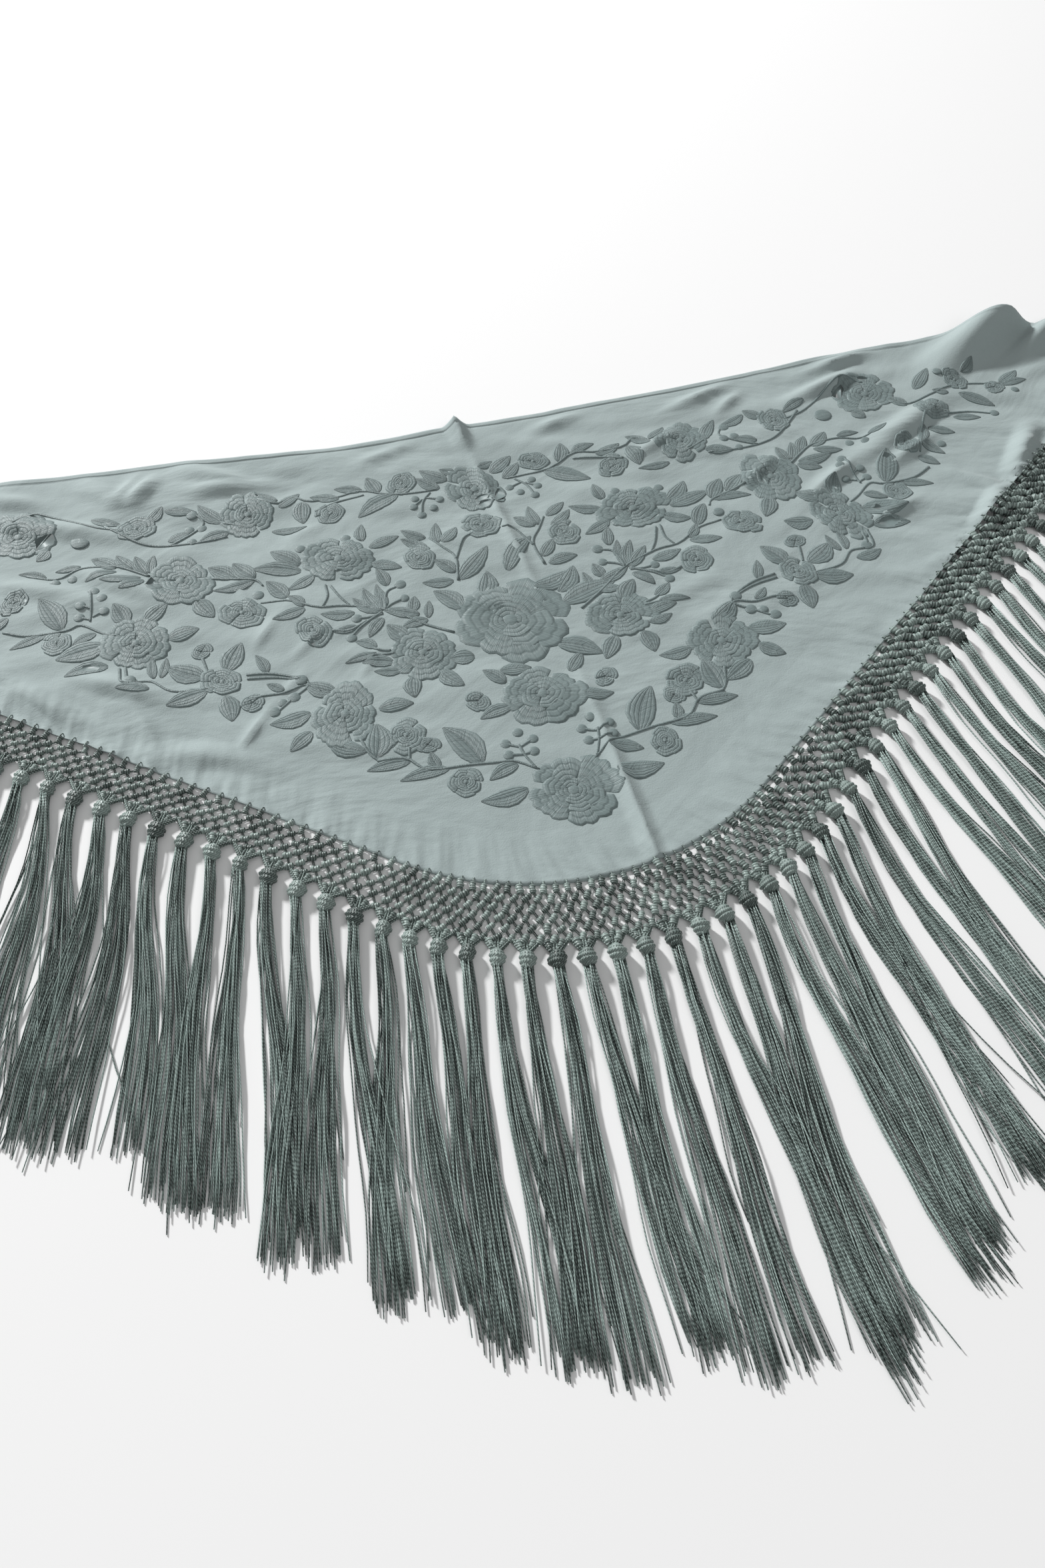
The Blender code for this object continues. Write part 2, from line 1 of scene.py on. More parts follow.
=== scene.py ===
"""Looks of an embroidered, fringed flamenco shawl that lies flat on a surface.

The cloth is a thin crepe shell with soft folds and a narrow hem.  On it lie satin
stitch flowers, leaves, stems and berries in a thread a shade darker.  Along the two
short sides and the round point runs a knotted net, with a wrapped head and a long
thread tassel below every second loop of it.

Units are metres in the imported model's own frame: +X along the top edge, +Y from
the round point to the top edge, +Z up.  Tables of the embroidery are in millimetres
from the middle of the top edge.
"""

from __future__ import annotations

import logging
import math
from dataclasses import dataclass, field
from enum import Enum
from typing import Iterable, Sequence

import bpy
import numpy as np
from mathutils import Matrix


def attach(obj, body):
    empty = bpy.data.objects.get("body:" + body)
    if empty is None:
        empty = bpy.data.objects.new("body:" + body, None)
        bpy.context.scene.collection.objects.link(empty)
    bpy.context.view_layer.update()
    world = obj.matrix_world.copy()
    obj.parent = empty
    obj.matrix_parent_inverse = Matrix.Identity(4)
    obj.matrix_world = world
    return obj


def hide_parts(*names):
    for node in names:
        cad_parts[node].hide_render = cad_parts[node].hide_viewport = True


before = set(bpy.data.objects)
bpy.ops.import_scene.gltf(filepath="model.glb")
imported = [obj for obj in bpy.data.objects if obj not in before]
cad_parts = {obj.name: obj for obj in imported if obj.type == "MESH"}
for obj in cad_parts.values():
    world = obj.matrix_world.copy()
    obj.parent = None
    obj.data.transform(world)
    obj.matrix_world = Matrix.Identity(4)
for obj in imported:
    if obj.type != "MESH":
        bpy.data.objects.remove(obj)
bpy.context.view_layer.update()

Array = np.ndarray
LOG = logging.getLogger("shawl")
MM = 0.001


class Slot(Enum):
    """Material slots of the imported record."""

    CREPE = "crepe"
    EMBROIDERY = "embroidery"
    NET = "net_cord"
    FRINGE = "fringe_thread"


class Side(Enum):
    """Which side of the middle an embroidered motif lies on."""

    BOTH = 0
    LEFT = -1
    RIGHT = 1


def smooth(value: Array) -> Array:
    """Smooth step from 0 to 1: 3 t squared minus 2 t cubed, with t held to 0 to 1."""
    held = np.clip(value, 0.0, 1.0)
    return held * held * (3.0 - 2.0 * held)


def soft_noise(points: Array, cell: Sequence[float], seed: int) -> Array:
    """Smooth random heights over a plan, from -1 to 1.

    A random number stands at each corner of a lattice, and a point takes the four
    around it, blended with the smooth step in both directions.

    Args:
        points: Plan points, in metres.
        cell: Width and depth of the lattice's cells, in metres.
        seed: Seed of the random numbers.

    Returns:
        One value for each point.
    """
    size = 256
    values = np.random.default_rng(seed).uniform(-1.0, 1.0, (size, size))
    scaled = points / np.asarray(cell) + 64.0
    whole = np.floor(scaled).astype(int)
    blend = smooth(scaled - whole)
    i = whole[..., 0] % size
    j = whole[..., 1] % size
    after_i = (i + 1) % size
    after_j = (j + 1) % size
    near = values[i, j] * (1.0 - blend[..., 0]) + values[after_i, j] * blend[..., 0]
    far = values[i, after_j] * (1.0 - blend[..., 0]) + values[after_i, after_j] * blend[..., 0]
    return near * (1.0 - blend[..., 1]) + far * blend[..., 1]


def turned(angle: Array) -> Array:
    """Unit vectors in plan at angles from +X, in radians."""
    return np.stack([np.cos(angle), np.sin(angle)], axis=-1)


@dataclass
class Surface:
    """Vertices and faces of a piece under construction, with a UV for each corner."""

    vertices: Array
    quads: Array
    quad_uv: Array
    tris: Array
    tri_uv: Array

    @classmethod
    def join(cls, parts: Iterable["Surface"]) -> "Surface":
        """One surface from several.

        Args:
            parts: The surfaces to put together.

        Returns:
            A surface with the faces of all of them.
        """
        parts = list(parts)
        firsts = np.cumsum([0] + [len(p.vertices) for p in parts[:-1]])
        return cls(
            np.concatenate([p.vertices for p in parts]),
            np.concatenate([p.quads + first for p, first in zip(parts, firsts)]),
            np.concatenate([p.quad_uv for p in parts]),
            np.concatenate([p.tris + first for p, first in zip(parts, firsts)]),
            np.concatenate([p.tri_uv for p in parts]),
        )

    @classmethod
    def grids(cls, points: Array, uv: Array, closed: bool = False, flip: bool = False) -> "Surface":
        """Many grids at once, each a function of two parameters.

        Args:
            points: Shape (pieces, rows, columns, 3).
            uv: Shape (pieces, rows, columns, 2); one column more when closed.
            closed: Whether the last column joins the first, as round a tube.
            flip: Whether to turn the faces the other way round.

        Returns:
            The quads between neighbouring rows and columns.
        """
        pieces, rows, columns, _ = points.shape
        spans = columns if closed else columns - 1
        number = np.arange(pieces * rows * columns).reshape(pieces, rows, columns)
        after = np.roll(number, -1, axis=2)[:, :, :spans]
        here = number[:, :, :spans]
        order = (here[:, :-1], after[:, :-1], after[:, 1:], here[:, 1:])
        corner_uv = (
            uv[:, :-1, :spans],
            uv[:, :-1, 1:spans + 1],
            uv[:, 1:, 1:spans + 1],
            uv[:, 1:, :spans],
        )
        quads = np.stack(order, axis=-1).reshape(-1, 4)
        quad_uv = np.stack(corner_uv, axis=-2).reshape(-1, 4, 2)
        if flip:
            quads = quads[:, ::-1]
            quad_uv = quad_uv[:, ::-1]
        return cls(points.reshape(-1, 3), quads, quad_uv, NO_TRIS, NO_TRI_UV)

    @classmethod
    def tubes(cls, paths: Array, radius: Array, sides: int, flatten: float = 1.0,
              ids: Array | None = None) -> "Surface":
        """Round tubes carried along many paths, closed by a point at either end.

        A ring stands square to the path in plan: a point is the path plus radius
        times (cosine of the ring's angle, sideways, and sine, upwards).

        Args:
            paths: Shape (pieces, points, 3).
            radius: Shape (pieces, points).
            sides: Corners of a ring.
            flatten: Height of the tube's section over its width.
            ids: Number of each piece, kept in the whole part of the UV's first value.

        Returns:
            The tubes, with UV (number + share round, length along in metres).
        """
        pieces, count, _ = paths.shape
        step = np.gradient(paths, axis=1)
        length = np.linalg.norm(step, axis=2, keepdims=True)
        step = step / np.maximum(length, 1e-9)
        side = np.stack([-step[..., 1], step[..., 0], np.zeros_like(step[..., 0])], axis=-1)
        side = side / np.maximum(np.linalg.norm(side, axis=2, keepdims=True), 1e-6)
        up = np.cross(step, side)
        angle = np.linspace(0.0, 2.0 * np.pi, sides + 1)[:-1] + 0.5 * np.pi
        ring = (
            np.cos(angle)[None, None, :, None] * side[:, :, None, :]
            + flatten * np.sin(angle)[None, None, :, None] * up[:, :, None, :]
        )
        points = paths[:, :, None, :] + radius[:, :, None, None] * ring
        run = np.concatenate(
            [np.zeros((pieces, 1)), np.cumsum(np.linalg.norm(np.diff(paths, axis=1), axis=2), axis=1)],
            axis=1,
        )
        share = np.linspace(0.02, 0.98, sides + 1)
        number = np.arange(pieces) if ids is None else np.asarray(ids)
        around = np.broadcast_to(share, (pieces, count, sides + 1)) + number[:, None, None]
        uv = np.stack([around, np.broadcast_to(run[:, :, None], around.shape)], axis=-1)
        tube = cls.grids(points, uv, closed=True)
        caps = [cls.cap(points[:, 0], uv[:, 0], paths[:, 0], len(tube.vertices), 0, count, True)]
        caps.append(
            cls.cap(points[:, -1], uv[:, -1], paths[:, -1], len(tube.vertices) + pieces, count - 1, count, False)
        )
        vertices = np.concatenate([tube.vertices, paths[:, 0], paths[:, -1]])
        tris = np.concatenate([c[0] for c in caps])
        tri_uv = np.concatenate([c[1] for c in caps])
        return cls(vertices, tube.quads, tube.quad_uv, tris, tri_uv)

    @staticmethod
    def cap(ring: Array, uv: Array, tip: Array, first_tip: int, row: int, rows: int,
            start: bool) -> tuple[Array, Array]:
        """Triangles from a ring of each piece to a point in its middle.

        Args:
            ring: Shape (pieces, sides, 3).
            uv: Shape (pieces, sides + 1, 2).
            tip: Shape (pieces, 3).
            first_tip: Number of the first tip vertex.
            row: The ring's row in its piece.
            rows: Rows in a piece.
            start: Whether the ring is the first of its piece.

        Returns:
            The triangles and their UV.
        """
        pieces, sides, _ = ring.shape
        base = np.arange(pieces)[:, None] * rows * sides + row * sides
        here = base + np.arange(sides)[None, :]
        after = base + (np.arange(sides)[None, :] + 1) % sides
        middle = np.broadcast_to(first_tip + np.arange(pieces)[:, None], here.shape)
        order = (after, here, middle) if start else (here, after, middle)
        here_uv = uv[:, :-1]
        after_uv = uv[:, 1:]
        middle_uv = 0.5 * (here_uv + after_uv)
        uv_order = (after_uv, here_uv, middle_uv) if start else (here_uv, after_uv, middle_uv)
        tris = np.stack(order, axis=-1).reshape(-1, 3)
        return tris, np.stack(uv_order, axis=-2).reshape(-1, 3, 2)

    def build(self, name: str, material: bpy.types.Material) -> bpy.types.Object:
        """Put the surface into the scene as a smooth-shaded object at the origin.

        Args:
            name: Name of the piece.
            material: Its material.

        Returns:
            The new object.
        """
        corners = np.concatenate([self.quads.reshape(-1), self.tris.reshape(-1)]).astype(np.int32)
        quad_starts = np.arange(len(self.quads)) * 4
        tri_starts = 4 * len(self.quads) + np.arange(len(self.tris)) * 3
        starts = np.concatenate([quad_starts, tri_starts]).astype(np.int32)
        mesh = bpy.data.meshes.new(name)
        mesh.vertices.add(len(self.vertices))
        mesh.vertices.foreach_set("co", self.vertices.astype(np.float32).reshape(-1))
        mesh.loops.add(len(corners))
        mesh.loops.foreach_set("vertex_index", corners)
        mesh.polygons.add(len(starts))
        mesh.polygons.foreach_set("loop_start", starts)
        layer = mesh.uv_layers.new(name="UVMap")
        uv = np.concatenate([self.quad_uv.reshape(-1, 2), self.tri_uv.reshape(-1, 2)])
        layer.data.foreach_set("uv", uv.astype(np.float32).reshape(-1))
        mesh.polygons.foreach_set("use_smooth", np.ones(len(starts), dtype=bool))
        mesh.update(calc_edges=True)
        mesh.validate()
        mesh.materials.append(material)
        piece = bpy.data.objects.new(name, mesh)
        bpy.context.collection.objects.link(piece)
        return piece


NO_TRIS = np.zeros((0, 3), dtype=int)
NO_TRI_UV = np.zeros((0, 3, 2))


class Value:
    """A shader socket that can be used in arithmetic, each step adding a Math node."""

    def __init__(self, board: "Board", socket: bpy.types.NodeSocket) -> None:
        """Wrap one output socket of a board."""
        self.board = board
        self.socket = socket

    def _with(self, operation: str, left: object, right: object) -> "Value":
        """Result of a Math node on two values."""
        return self.board.node("ShaderNodeMath", {"operation": operation}, {0: left, 1: right})

    def __add__(self, other: object) -> "Value":
        """This plus another."""
        return self._with("ADD", self, other)

    __radd__ = __add__

    def __mul__(self, other: object) -> "Value":
        """This times another."""
        return self._with("MULTIPLY", self, other)

    __rmul__ = __mul__

    def __sub__(self, other: object) -> "Value":
        """This minus another."""
        return self._with("SUBTRACT", self, other)

    def __rsub__(self, other: object) -> "Value":
        """Another minus this."""
        return self._with("SUBTRACT", other, self)

    def __truediv__(self, other: object) -> "Value":
        """This over another."""
        return self._with("DIVIDE", self, other)

    def __pow__(self, other: object) -> "Value":
        """This to a power."""
        return self._with("POWER", self, other)

    def sine(self) -> "Value":
        """Sine of this, in radians."""
        return self._with("SINE", self, 0.0)

    def floor(self) -> "Value":
        """Whole part of this."""
        return self._with("FLOOR", self, 0.0)

    def held(self) -> "Value":
        """This held between 0 and 1."""
        return self.board.node("ShaderNodeClamp", {}, {0: self})


class Board:
    """The node board of one material, built around its Principled shader."""

    def __init__(self, name: str) -> None:
        """Make an empty material with a Principled shader and its output."""
        self.material = bpy.data.materials.new(name)
        self.material.use_nodes = True
        self.tree = self.material.node_tree
        self.shader = self.tree.nodes["Principled BSDF"]

    def node(self, kind: str, settings: dict, sockets: dict, output: object = 0) -> Value:
        """Add one node.

        Args:
            kind: Blender's type name of the node.
            settings: Attributes set on the node before its sockets.
            sockets: Values or links of its inputs, by name or number.
            output: Name or number of the output that is returned.

        Returns:
            The output, ready for arithmetic.
        """
        made = self.tree.nodes.new(kind)
        for key, value in settings.items():
            if key == "stops":
                self.fill_ramp(made.color_ramp, value)
            else:
                setattr(made, key, value)
        for key, value in sockets.items():
            self.feed(made.inputs[key], value)
        return Value(self, made.outputs[output])

    @staticmethod
    def fill_ramp(ramp: bpy.types.ColorRamp, stops: Sequence[tuple]) -> None:
        """Set a ramp's stops, each a place and a colour."""
        while len(ramp.elements) < len(stops):
            ramp.elements.new(0.5)
        for element, (place, colour) in zip(ramp.elements, stops):
            element.position = place
            element.color = colour

    def feed(self, socket: bpy.types.NodeSocket, value: object) -> None:
        """Link a value to a socket, or set the socket to a constant."""
        if isinstance(value, Value):
            self.tree.links.new(value.socket, socket)
        else:
            socket.default_value = value

    def set(self, **constants: object) -> None:
        """Set constants on the shader, by socket name with _ for a space."""
        for key, value in constants.items():
            self.shader.inputs[key.replace("_", " ")].default_value = value

    def link(self, socket: str, value: Value) -> None:
        """Link a value to one of the shader's sockets."""
        self.feed(self.shader.inputs[socket], value)

    def place(self, output: str) -> Value:
        """An output of the Texture Coordinate node, such as Object or UV."""
        return self.node("ShaderNodeTexCoord", {}, {}, output)

    def parts(self, vector: Value) -> tuple[Value, Value]:
        """First and second value of a vector."""
        split = self.node("ShaderNodeSeparateXYZ", {}, {0: vector})
        return split, Value(self, split.socket.node.outputs[1])

    def vector(self, x: object, y: object, z: object = 0.0) -> Value:
        """A vector from three values."""
        return self.node("ShaderNodeCombineXYZ", {}, {0: x, 1: y, 2: z})

    def noise(self, place: Value, scale: float, detail: float = 2.0, rough: float = 0.5) -> Value:
        """Noise of a given scale at a place, from 0 to 1."""
        return self.node(
            "ShaderNodeTexNoise", {},
            {"Vector": place, "Scale": scale, "Detail": detail, "Roughness": rough},
        )

    def mix(self, factor: object, one: object, two: object) -> Value:
        """A colour between two, by a factor."""
        return self.node(
            "ShaderNodeMix", {"data_type": "RGBA"}, {0: factor, 6: one, 7: two}, 2,
        )

    def bump(self, height: Value, distance: float, strength: float = 1.0) -> None:
        """Feed a height to the shader's normal."""
        made = self.node(
            "ShaderNodeBump", {},
            {"Height": height, "Distance": distance, "Strength": strength},
        )
        self.link("Normal", made)


@dataclass(frozen=True)
class CrepeFinish:
    """Matt crepe: a pebbled weave of fine twisted threads, with a soft sheen."""

    pale: tuple = (0.370, 0.436, 0.434, 1.0)
    deep: tuple = (0.305, 0.366, 0.364, 1.0)
    grain_scale: float = 900.0
    grain_depth: float = 0.00022
    pucker_depth: float = 0.0050
    pucker_fade: float = 24.0

    def material(self) -> bpy.types.Material:
        """Make the material: grain, slubs and hem puckers as bump, soft patches of tone.

        The UV holds the length along the hem and the distance from it.  Puckers are
        noise drawn out across the hem, and fade within a few centimetres of it.
        """
        board = Board("crepe")
        place = board.place("Object")
        x, y = board.parts(place)
        run, away = board.parts(board.place("UV"))
        near_hem = (1.0 - away * self.pucker_fade).held()
        pucker = board.noise(board.vector(run * 72.0 + away * 26.0, away * 24.0), 1.0, 1.0, 0.4)
        bend = board.noise(place, 5.0, 1.0, 0.5)
        crease = board.noise(board.vector(x * 26.0 + bend * 6.0, y * 52.0 + bend * 9.0), 1.0, 2.0, 0.5)
        grain = board.noise(place, self.grain_scale, 3.0, 0.6)
        slub = board.noise(board.vector(x * 0.35, y), 520.0, 2.0, 0.5)
        cloud = board.noise(place, 14.0, 3.0, 0.55)
        tone = (grain * 0.55 + slub * 0.30 + cloud * 0.35 - 0.12).held()
        board.link("Base Color", board.mix(tone, self.deep, self.pale))
        weave = (grain + slub * 0.6) * (self.grain_depth / self.pucker_depth)
        board.bump(weave + pucker * near_hem * 1.0 + crease * 0.36, self.pucker_depth, 0.9)
        board.set(Roughness=0.80, Specular_IOR_Level=0.25, Sheen_Weight=0.15, Sheen_Roughness=0.45)
        return board.material


@dataclass(frozen=True)
class StitchFinish:
    """Satin stitch: fine parallel threads that run along each motif's own UV."""

    light: tuple = (0.278, 0.352, 0.350, 1.0)
    dark: tuple = (0.090, 0.124, 0.124, 1.0)
    stitch_depth: float = 0.00050
    bands: float = 4.4

    def material(self) -> bpy.types.Material:
        """Make the material: streaks across the UV, and painted shade: darker towards each petal's base and each
        leaf's vein, and in bands along the rows of stitches, where the bump sinks.
        """
        board = Board("satin_stitch")
        across, along = board.parts(board.place("UV"))
        streak = board.noise(board.vector(across * 0.95, along * 1.1), 1.0, 2.0, 0.65)
        fine = board.noise(board.vector(across * 3.6, along * 0.8, 4.0), 1.0, 1.0, 0.5)
        patch = board.noise(board.place("Object"), 160.0, 2.0, 0.5)
        band = (along * self.bands * (2.0 * math.pi)).sine() * 0.5 + 0.5
        rim = band * band * band
        # Painted shade: the along term darkens each petal towards its base, under the ring inside it, and each leaf
        # along its vein groove; the rim bands darken the rows where the bump sinks.
        tone = (streak * 0.8 + fine * 0.35 + patch * 0.3 + along * 0.22 - rim * 0.20 - 0.36).held()
        board.link("Base Color", board.mix(tone, self.dark, self.light))
        board.bump(streak + fine * 0.6 - rim * 0.5, self.stitch_depth, 1.0)
        board.set(Roughness=0.52, Specular_IOR_Level=0.42, Sheen_Weight=0.12, Sheen_Roughness=0.4)
        return board.material


@dataclass(frozen=True)
class CordFinish:
    """Glossy twisted thread, whose strands wind round it as slanting lines."""

    name: str
    light: tuple
    dark: tuple
    turns_per_metre: float
    depth: float
    gloss: float

    def material(self) -> bpy.types.Material:
        """Make the material: the twist as bump and as painted shade, darker in its grooves and lighter on its ridges,
        and each thread's own tone.
        """
        board = Board(self.name)
        across, along = board.parts(board.place("UV"))
        number = across.floor()
        around = across - number
        twist_and_shade = ((around + along * self.turns_per_metre) * (2.0 * math.pi)).sine() * 0.5 + 0.5
        own = board.node("ShaderNodeTexWhiteNoise", {"noise_dimensions": "1D"}, {"W": number})
        blotch = board.noise(board.place("Object"), 260.0, 2.0, 0.5)
        # Painted shade: the twist term darkens the tone where the bump's grooves run and lightens it on the strands'
        # ridges.
        tone = (own * 0.60 + twist_and_shade * 0.45 + blotch * 0.35 - 0.26).held()
        board.link("Base Color", board.mix(tone, self.dark, self.light))
        board.bump(twist_and_shade, self.depth, 0.8)
        board.set(Roughness=self.gloss, Specular_IOR_Level=0.45, Sheen_Weight=0.08, Sheen_Roughness=0.4)
        return board.material


@dataclass(frozen=True)
class FloorFinish:
    """Plain pale studio floor."""

    colour: tuple = (0.93, 0.93, 0.93, 1.0)

    def material(self) -> bpy.types.Material:
        """Make the plain floor material."""
        board = Board("floor_paper")
        board.set(Base_Color=self.colour, Roughness=0.9, Specular_IOR_Level=0.1)
        return board.material


@dataclass
class Cut:
    """Cut of the shawl: its outline, its net's width and where its tassels hang."""

    half_width: float = 0.700
    depth: float = 0.476
    point_radius: float = 0.210
    top_edge_y: float = 0.3855
    net_side_width: float = 0.027
    net_point_width: float = 0.041
    net_point_reach: float = 0.30
    tassels: int = 84
    point_crowding: float = 1.13
    strip: float = 0.0026
    neck: float = 0.0075
    head: float = 0.0100
    samples: int = 2000
    top_edge: tuple = (
        (-0.700, 0.000),
        (-0.520, 0.012),
        (-0.400, 0.016),
        (-0.270, 0.007),
        (-0.160, -0.007),
        (-0.040, -0.012),
        (0.070, -0.010),
        (0.180, -0.004),
        (0.300, 0.003),
        (0.450, 0.006),
        (0.700, 0.000),
    )

    def __post_init__(self) -> None:
        """Work out the angle and lengths of the hem from the cut's sizes."""
        below = self.depth - self.point_radius
        reach = math.hypot(self.half_width, below)
        self.side_angle = math.atan2(below, self.half_width) + math.asin(self.point_radius / reach)
        self.side_length = math.sqrt(reach ** 2 - self.point_radius ** 2)
        self.arc_length = 2.0 * self.side_angle * self.point_radius
        self.hem_length = 2.0 * self.side_length + self.arc_length

    def hem_at(self, run: Array, out: Array | float) -> tuple[Array, Array, Array]:
        """Places along the hem, moved outwards.

        The hem is a straight side, an arc that both sides touch, and a straight
        side: centre of the arc, plus the way along the tangent past the arc's ends,
        plus (radius + out) along the normal.

        Args:
            run: Lengths along the hem from the left corner.
            out: How far outwards from the hem.

        Returns:
            Plan points, outward directions and directions along the hem.
        """
        run = np.asarray(run, dtype=float)
        angle = np.clip((run - self.side_length) / self.point_radius, 0.0, 2.0 * self.side_angle)
        angle = angle - self.side_angle
        normal = np.stack([np.sin(angle), -np.cos(angle)], axis=-1)
        tangent = np.stack([np.cos(angle), np.sin(angle)], axis=-1)
        centre = np.array([0.0, self.point_radius - self.depth])
        before = np.minimum(run - self.side_length, 0.0)
        after = np.maximum(run - self.side_length - self.arc_length, 0.0)
        reach = (self.point_radius + np.asarray(out, dtype=float))[..., None] * normal
        return centre + (before + after)[..., None] * tangent + reach, normal, tangent

    def top_at(self, x: Array) -> Array:
        """How far the top edge bows at each x, from a smoothed table."""
        table = np.array(self.top_edge)
        spread = 0.03
        samples = [np.interp(x + spread * k, table[:, 0], table[:, 1]) for k in (-1.0, -0.5, 0.0, 0.5, 1.0)]
        inner = smooth((self.half_width - np.abs(x)) / 0.06)
        return np.mean(samples, axis=0) * inner

    def net_width(self, run: Array) -> Array:
        """Width of the net, which grows as a raised cosine towards the point."""
        off = np.abs(np.asarray(run, dtype=float) - 0.5 * self.hem_length) / self.net_point_reach
        swell = 0.5 + 0.5 * np.cos(np.pi * np.clip(off, 0.0, 1.0))
        return self.net_side_width + (self.net_point_width - self.net_side_width) * swell

    def shares(self, parts: int) -> Array:
        """Lengths along the hem that divide it into equal shares of tassels."""
        run = np.linspace(0.0, self.hem_length, self.samples)
        head = self.net_width(run) + self.strip + self.neck + 0.5 * self.head
        on_arc = np.abs(run - 0.5 * self.hem_length) < 0.5 * self.arc_length
        share = np.where(on_arc, self.point_crowding * (1.0 + head / self.point_radius), 1.0)
        total = np.concatenate([[0.0], np.cumsum(0.5 * (share[1:] + share[:-1]))])
        return np.interp(np.linspace(0.0, total[-1], parts + 1), total, run)

    def hem_uv(self, points: Array) -> Array:
        """Length along the hem and distance from it, for points on the cloth.

        Inside the arc's sector the distance is the radius less the distance from
        its centre.  Beside it, both come from the straight side's directions.

        Args:
            points: Plan points.

        Returns:
            Two values for each point.
        """
        offset = points - np.array([0.0, self.point_radius - self.depth])
        angle = np.arctan2(offset[..., 0], -offset[..., 1])
        held = np.clip(angle, -self.side_angle, self.side_angle)
        on_arc = np.abs(angle) < self.side_angle
        normal = np.stack([np.sin(held), -np.cos(held)], axis=-1)
        tangent = np.stack([np.cos(held), np.sin(held)], axis=-1)
        past = np.where(on_arc, 0.0, np.sum(offset * tangent, axis=-1))
        run = self.side_length + (held + self.side_angle) * self.point_radius + past
        away = self.point_radius - np.sum(offset * normal, axis=-1)
        return np.stack([run, away], axis=-1)

    def placed(self, points: Array, height: Array) -> Array:
        """Plan points from the middle of the top edge, as points in the frame."""
        return np.stack([points[..., 0], points[..., 1] + self.top_edge_y, height], axis=-1)


@dataclass
class Drape:
    """Height of the cloth over the surface it lies on: folds, wrinkles and puckers."""

    cut: Cut
    wall: float = 0.0009
    rest: float = 0.0003
    folds: tuple = (
        (0.000, 0.004, 0.008, -0.060, 0.0120, 0.012, 0.15),
        (0.007, -0.046, 0.030, -0.300, 0.0042, 0.009, 0.25),
        (0.030, -0.270, 0.037, -0.500, 0.0060, 0.010, 0.80),
        (-0.330, 0.004, -0.288, -0.034, 0.0045, 0.013, 0.70),
        (-0.294, -0.038, -0.262, 0.004, 0.0060, 0.012, 0.35),
        (-0.238, -0.005, -0.150, -0.060, 0.0065, 0.015, 0.45),
        (-0.100, -0.040, -0.028, -0.022, 0.0045, 0.012, 0.50),
        (-0.410, 0.000, -0.335, -0.028, 0.0040, 0.014, 0.50),
        (-0.400, -0.030, -0.230, -0.098, 0.0042, 0.015, 0.40),
        (-0.165, -0.114, -0.118, -0.100, 0.0026, 0.010, 0.50),
        (-0.390, -0.102, -0.300, -0.150, 0.0032, 0.013, 0.40),
        (-0.395, -0.180, -0.335, -0.275, 0.0040, 0.013, 0.60),
        (-0.300, -0.230, -0.262, -0.330, 0.0028, 0.011, 0.50),
        (0.548, 0.018, 0.400, -0.062, 0.0260, 0.031, 0.12),
        (0.605, 0.008, 0.512, -0.046, 0.0140, 0.018, 0.40),
        (0.398, -0.001, 0.300, -0.018, 0.0062, 0.011, 0.35),
        (0.376, -0.024, 0.272, -0.055, 0.0078, 0.013, 0.35),
        (0.258, -0.010, 0.165, -0.042, 0.0062, 0.012, 0.35),
        (0.264, -0.022, 0.220, -0.056, 0.0042, 0.010, 0.40),
        (0.432, -0.082, 0.286, -0.152, 0.0075, 0.018, 0.25),
        (0.406, -0.122, 0.330, -0.158, 0.0050, 0.012, 0.40),
        (0.378, -0.160, 0.434, -0.202, 0.0042, 0.010, 0.70),
        (0.494, -0.128, 0.430, -0.204, 0.0095, 0.015, 0.45),
        (0.430, -0.198, 0.372, -0.254, 0.0080, 0.014, 0.40),
        (-0.660, -0.004, -0.470, -0.064, 0.0070, 0.022, 0.40),
        (-0.560, -0.030, -0.480, -0.130, 0.0040, 0.016, 0.50),
        (0.672, -0.010, 0.575, -0.060, 0.0060, 0.017, 0.45),
    )
    creases: tuple = (
        (-0.159, -0.250, -0.187, -0.273, 0.0016, 0.0060, 0.60),
        (-0.187, -0.273, -0.240, -0.342, 0.0020, 0.0055, 0.40),
        (-0.139, -0.209, -0.178, -0.244, 0.0016, 0.0065, 0.50),
        (-0.175, -0.189, -0.204, -0.232, 0.0018, 0.0065, 0.45),
        (-0.104, -0.239, -0.133, -0.279, 0.0012, 0.0055, 0.50),
        (-0.209, -0.146, -0.190, -0.188, 0.0014, 0.0060, 0.50),
        (-0.383, -0.205, -0.306, -0.288, 0.0046, 0.0150, 0.45),
        (-0.345, -0.232, -0.318, -0.268, 0.0024, 0.0070, 0.50),
        (-0.285, -0.296, -0.176, -0.340, 0.0030, 0.0150, 0.45),
        (-0.340, -0.212, -0.246, -0.270, 0.0036, 0.0130, 0.40),
        (-0.321, 0.006, -0.276, -0.046, 0.0036, 0.0150, 0.55),
        (-0.282, -0.044, -0.250, -0.004, 0.0042, 0.0140, 0.45),
        (-0.236, -0.036, -0.140, -0.046, 0.0046, 0.0150, 0.40),
        (-0.336, -0.098, -0.252, -0.160, 0.0036, 0.0140, 0.50),
        (0.328, -0.133, 0.250, -0.178, 0.0040, 0.0120, 0.40),
        (0.262, -0.112, 0.208, -0.150, 0.0032, 0.0110, 0.50),
        (0.354, -0.196, 0.288, -0.214, 0.0030, 0.0110, 0.40),
        (0.196, -0.060, 0.128, -0.092, 0.0030, 0.0110, 0.50),
        (0.120, -0.020, 0.046, -0.038, 0.0034, 0.0120, 0.45),
        (0.410, -0.090, 0.340, -0.128, 0.0030, 0.0080, 0.40),
    )
    fold_start: float = 0.12
    sharp_below: float = 0.0125
    crease_share: float = 1.45
    gather: float = 0.0036
    gather_reach: float = 0.011

    def lift(self, points: Array) -> Array:
        """Height of the large folds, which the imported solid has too."""
        return self.ridges(points, self.folds)

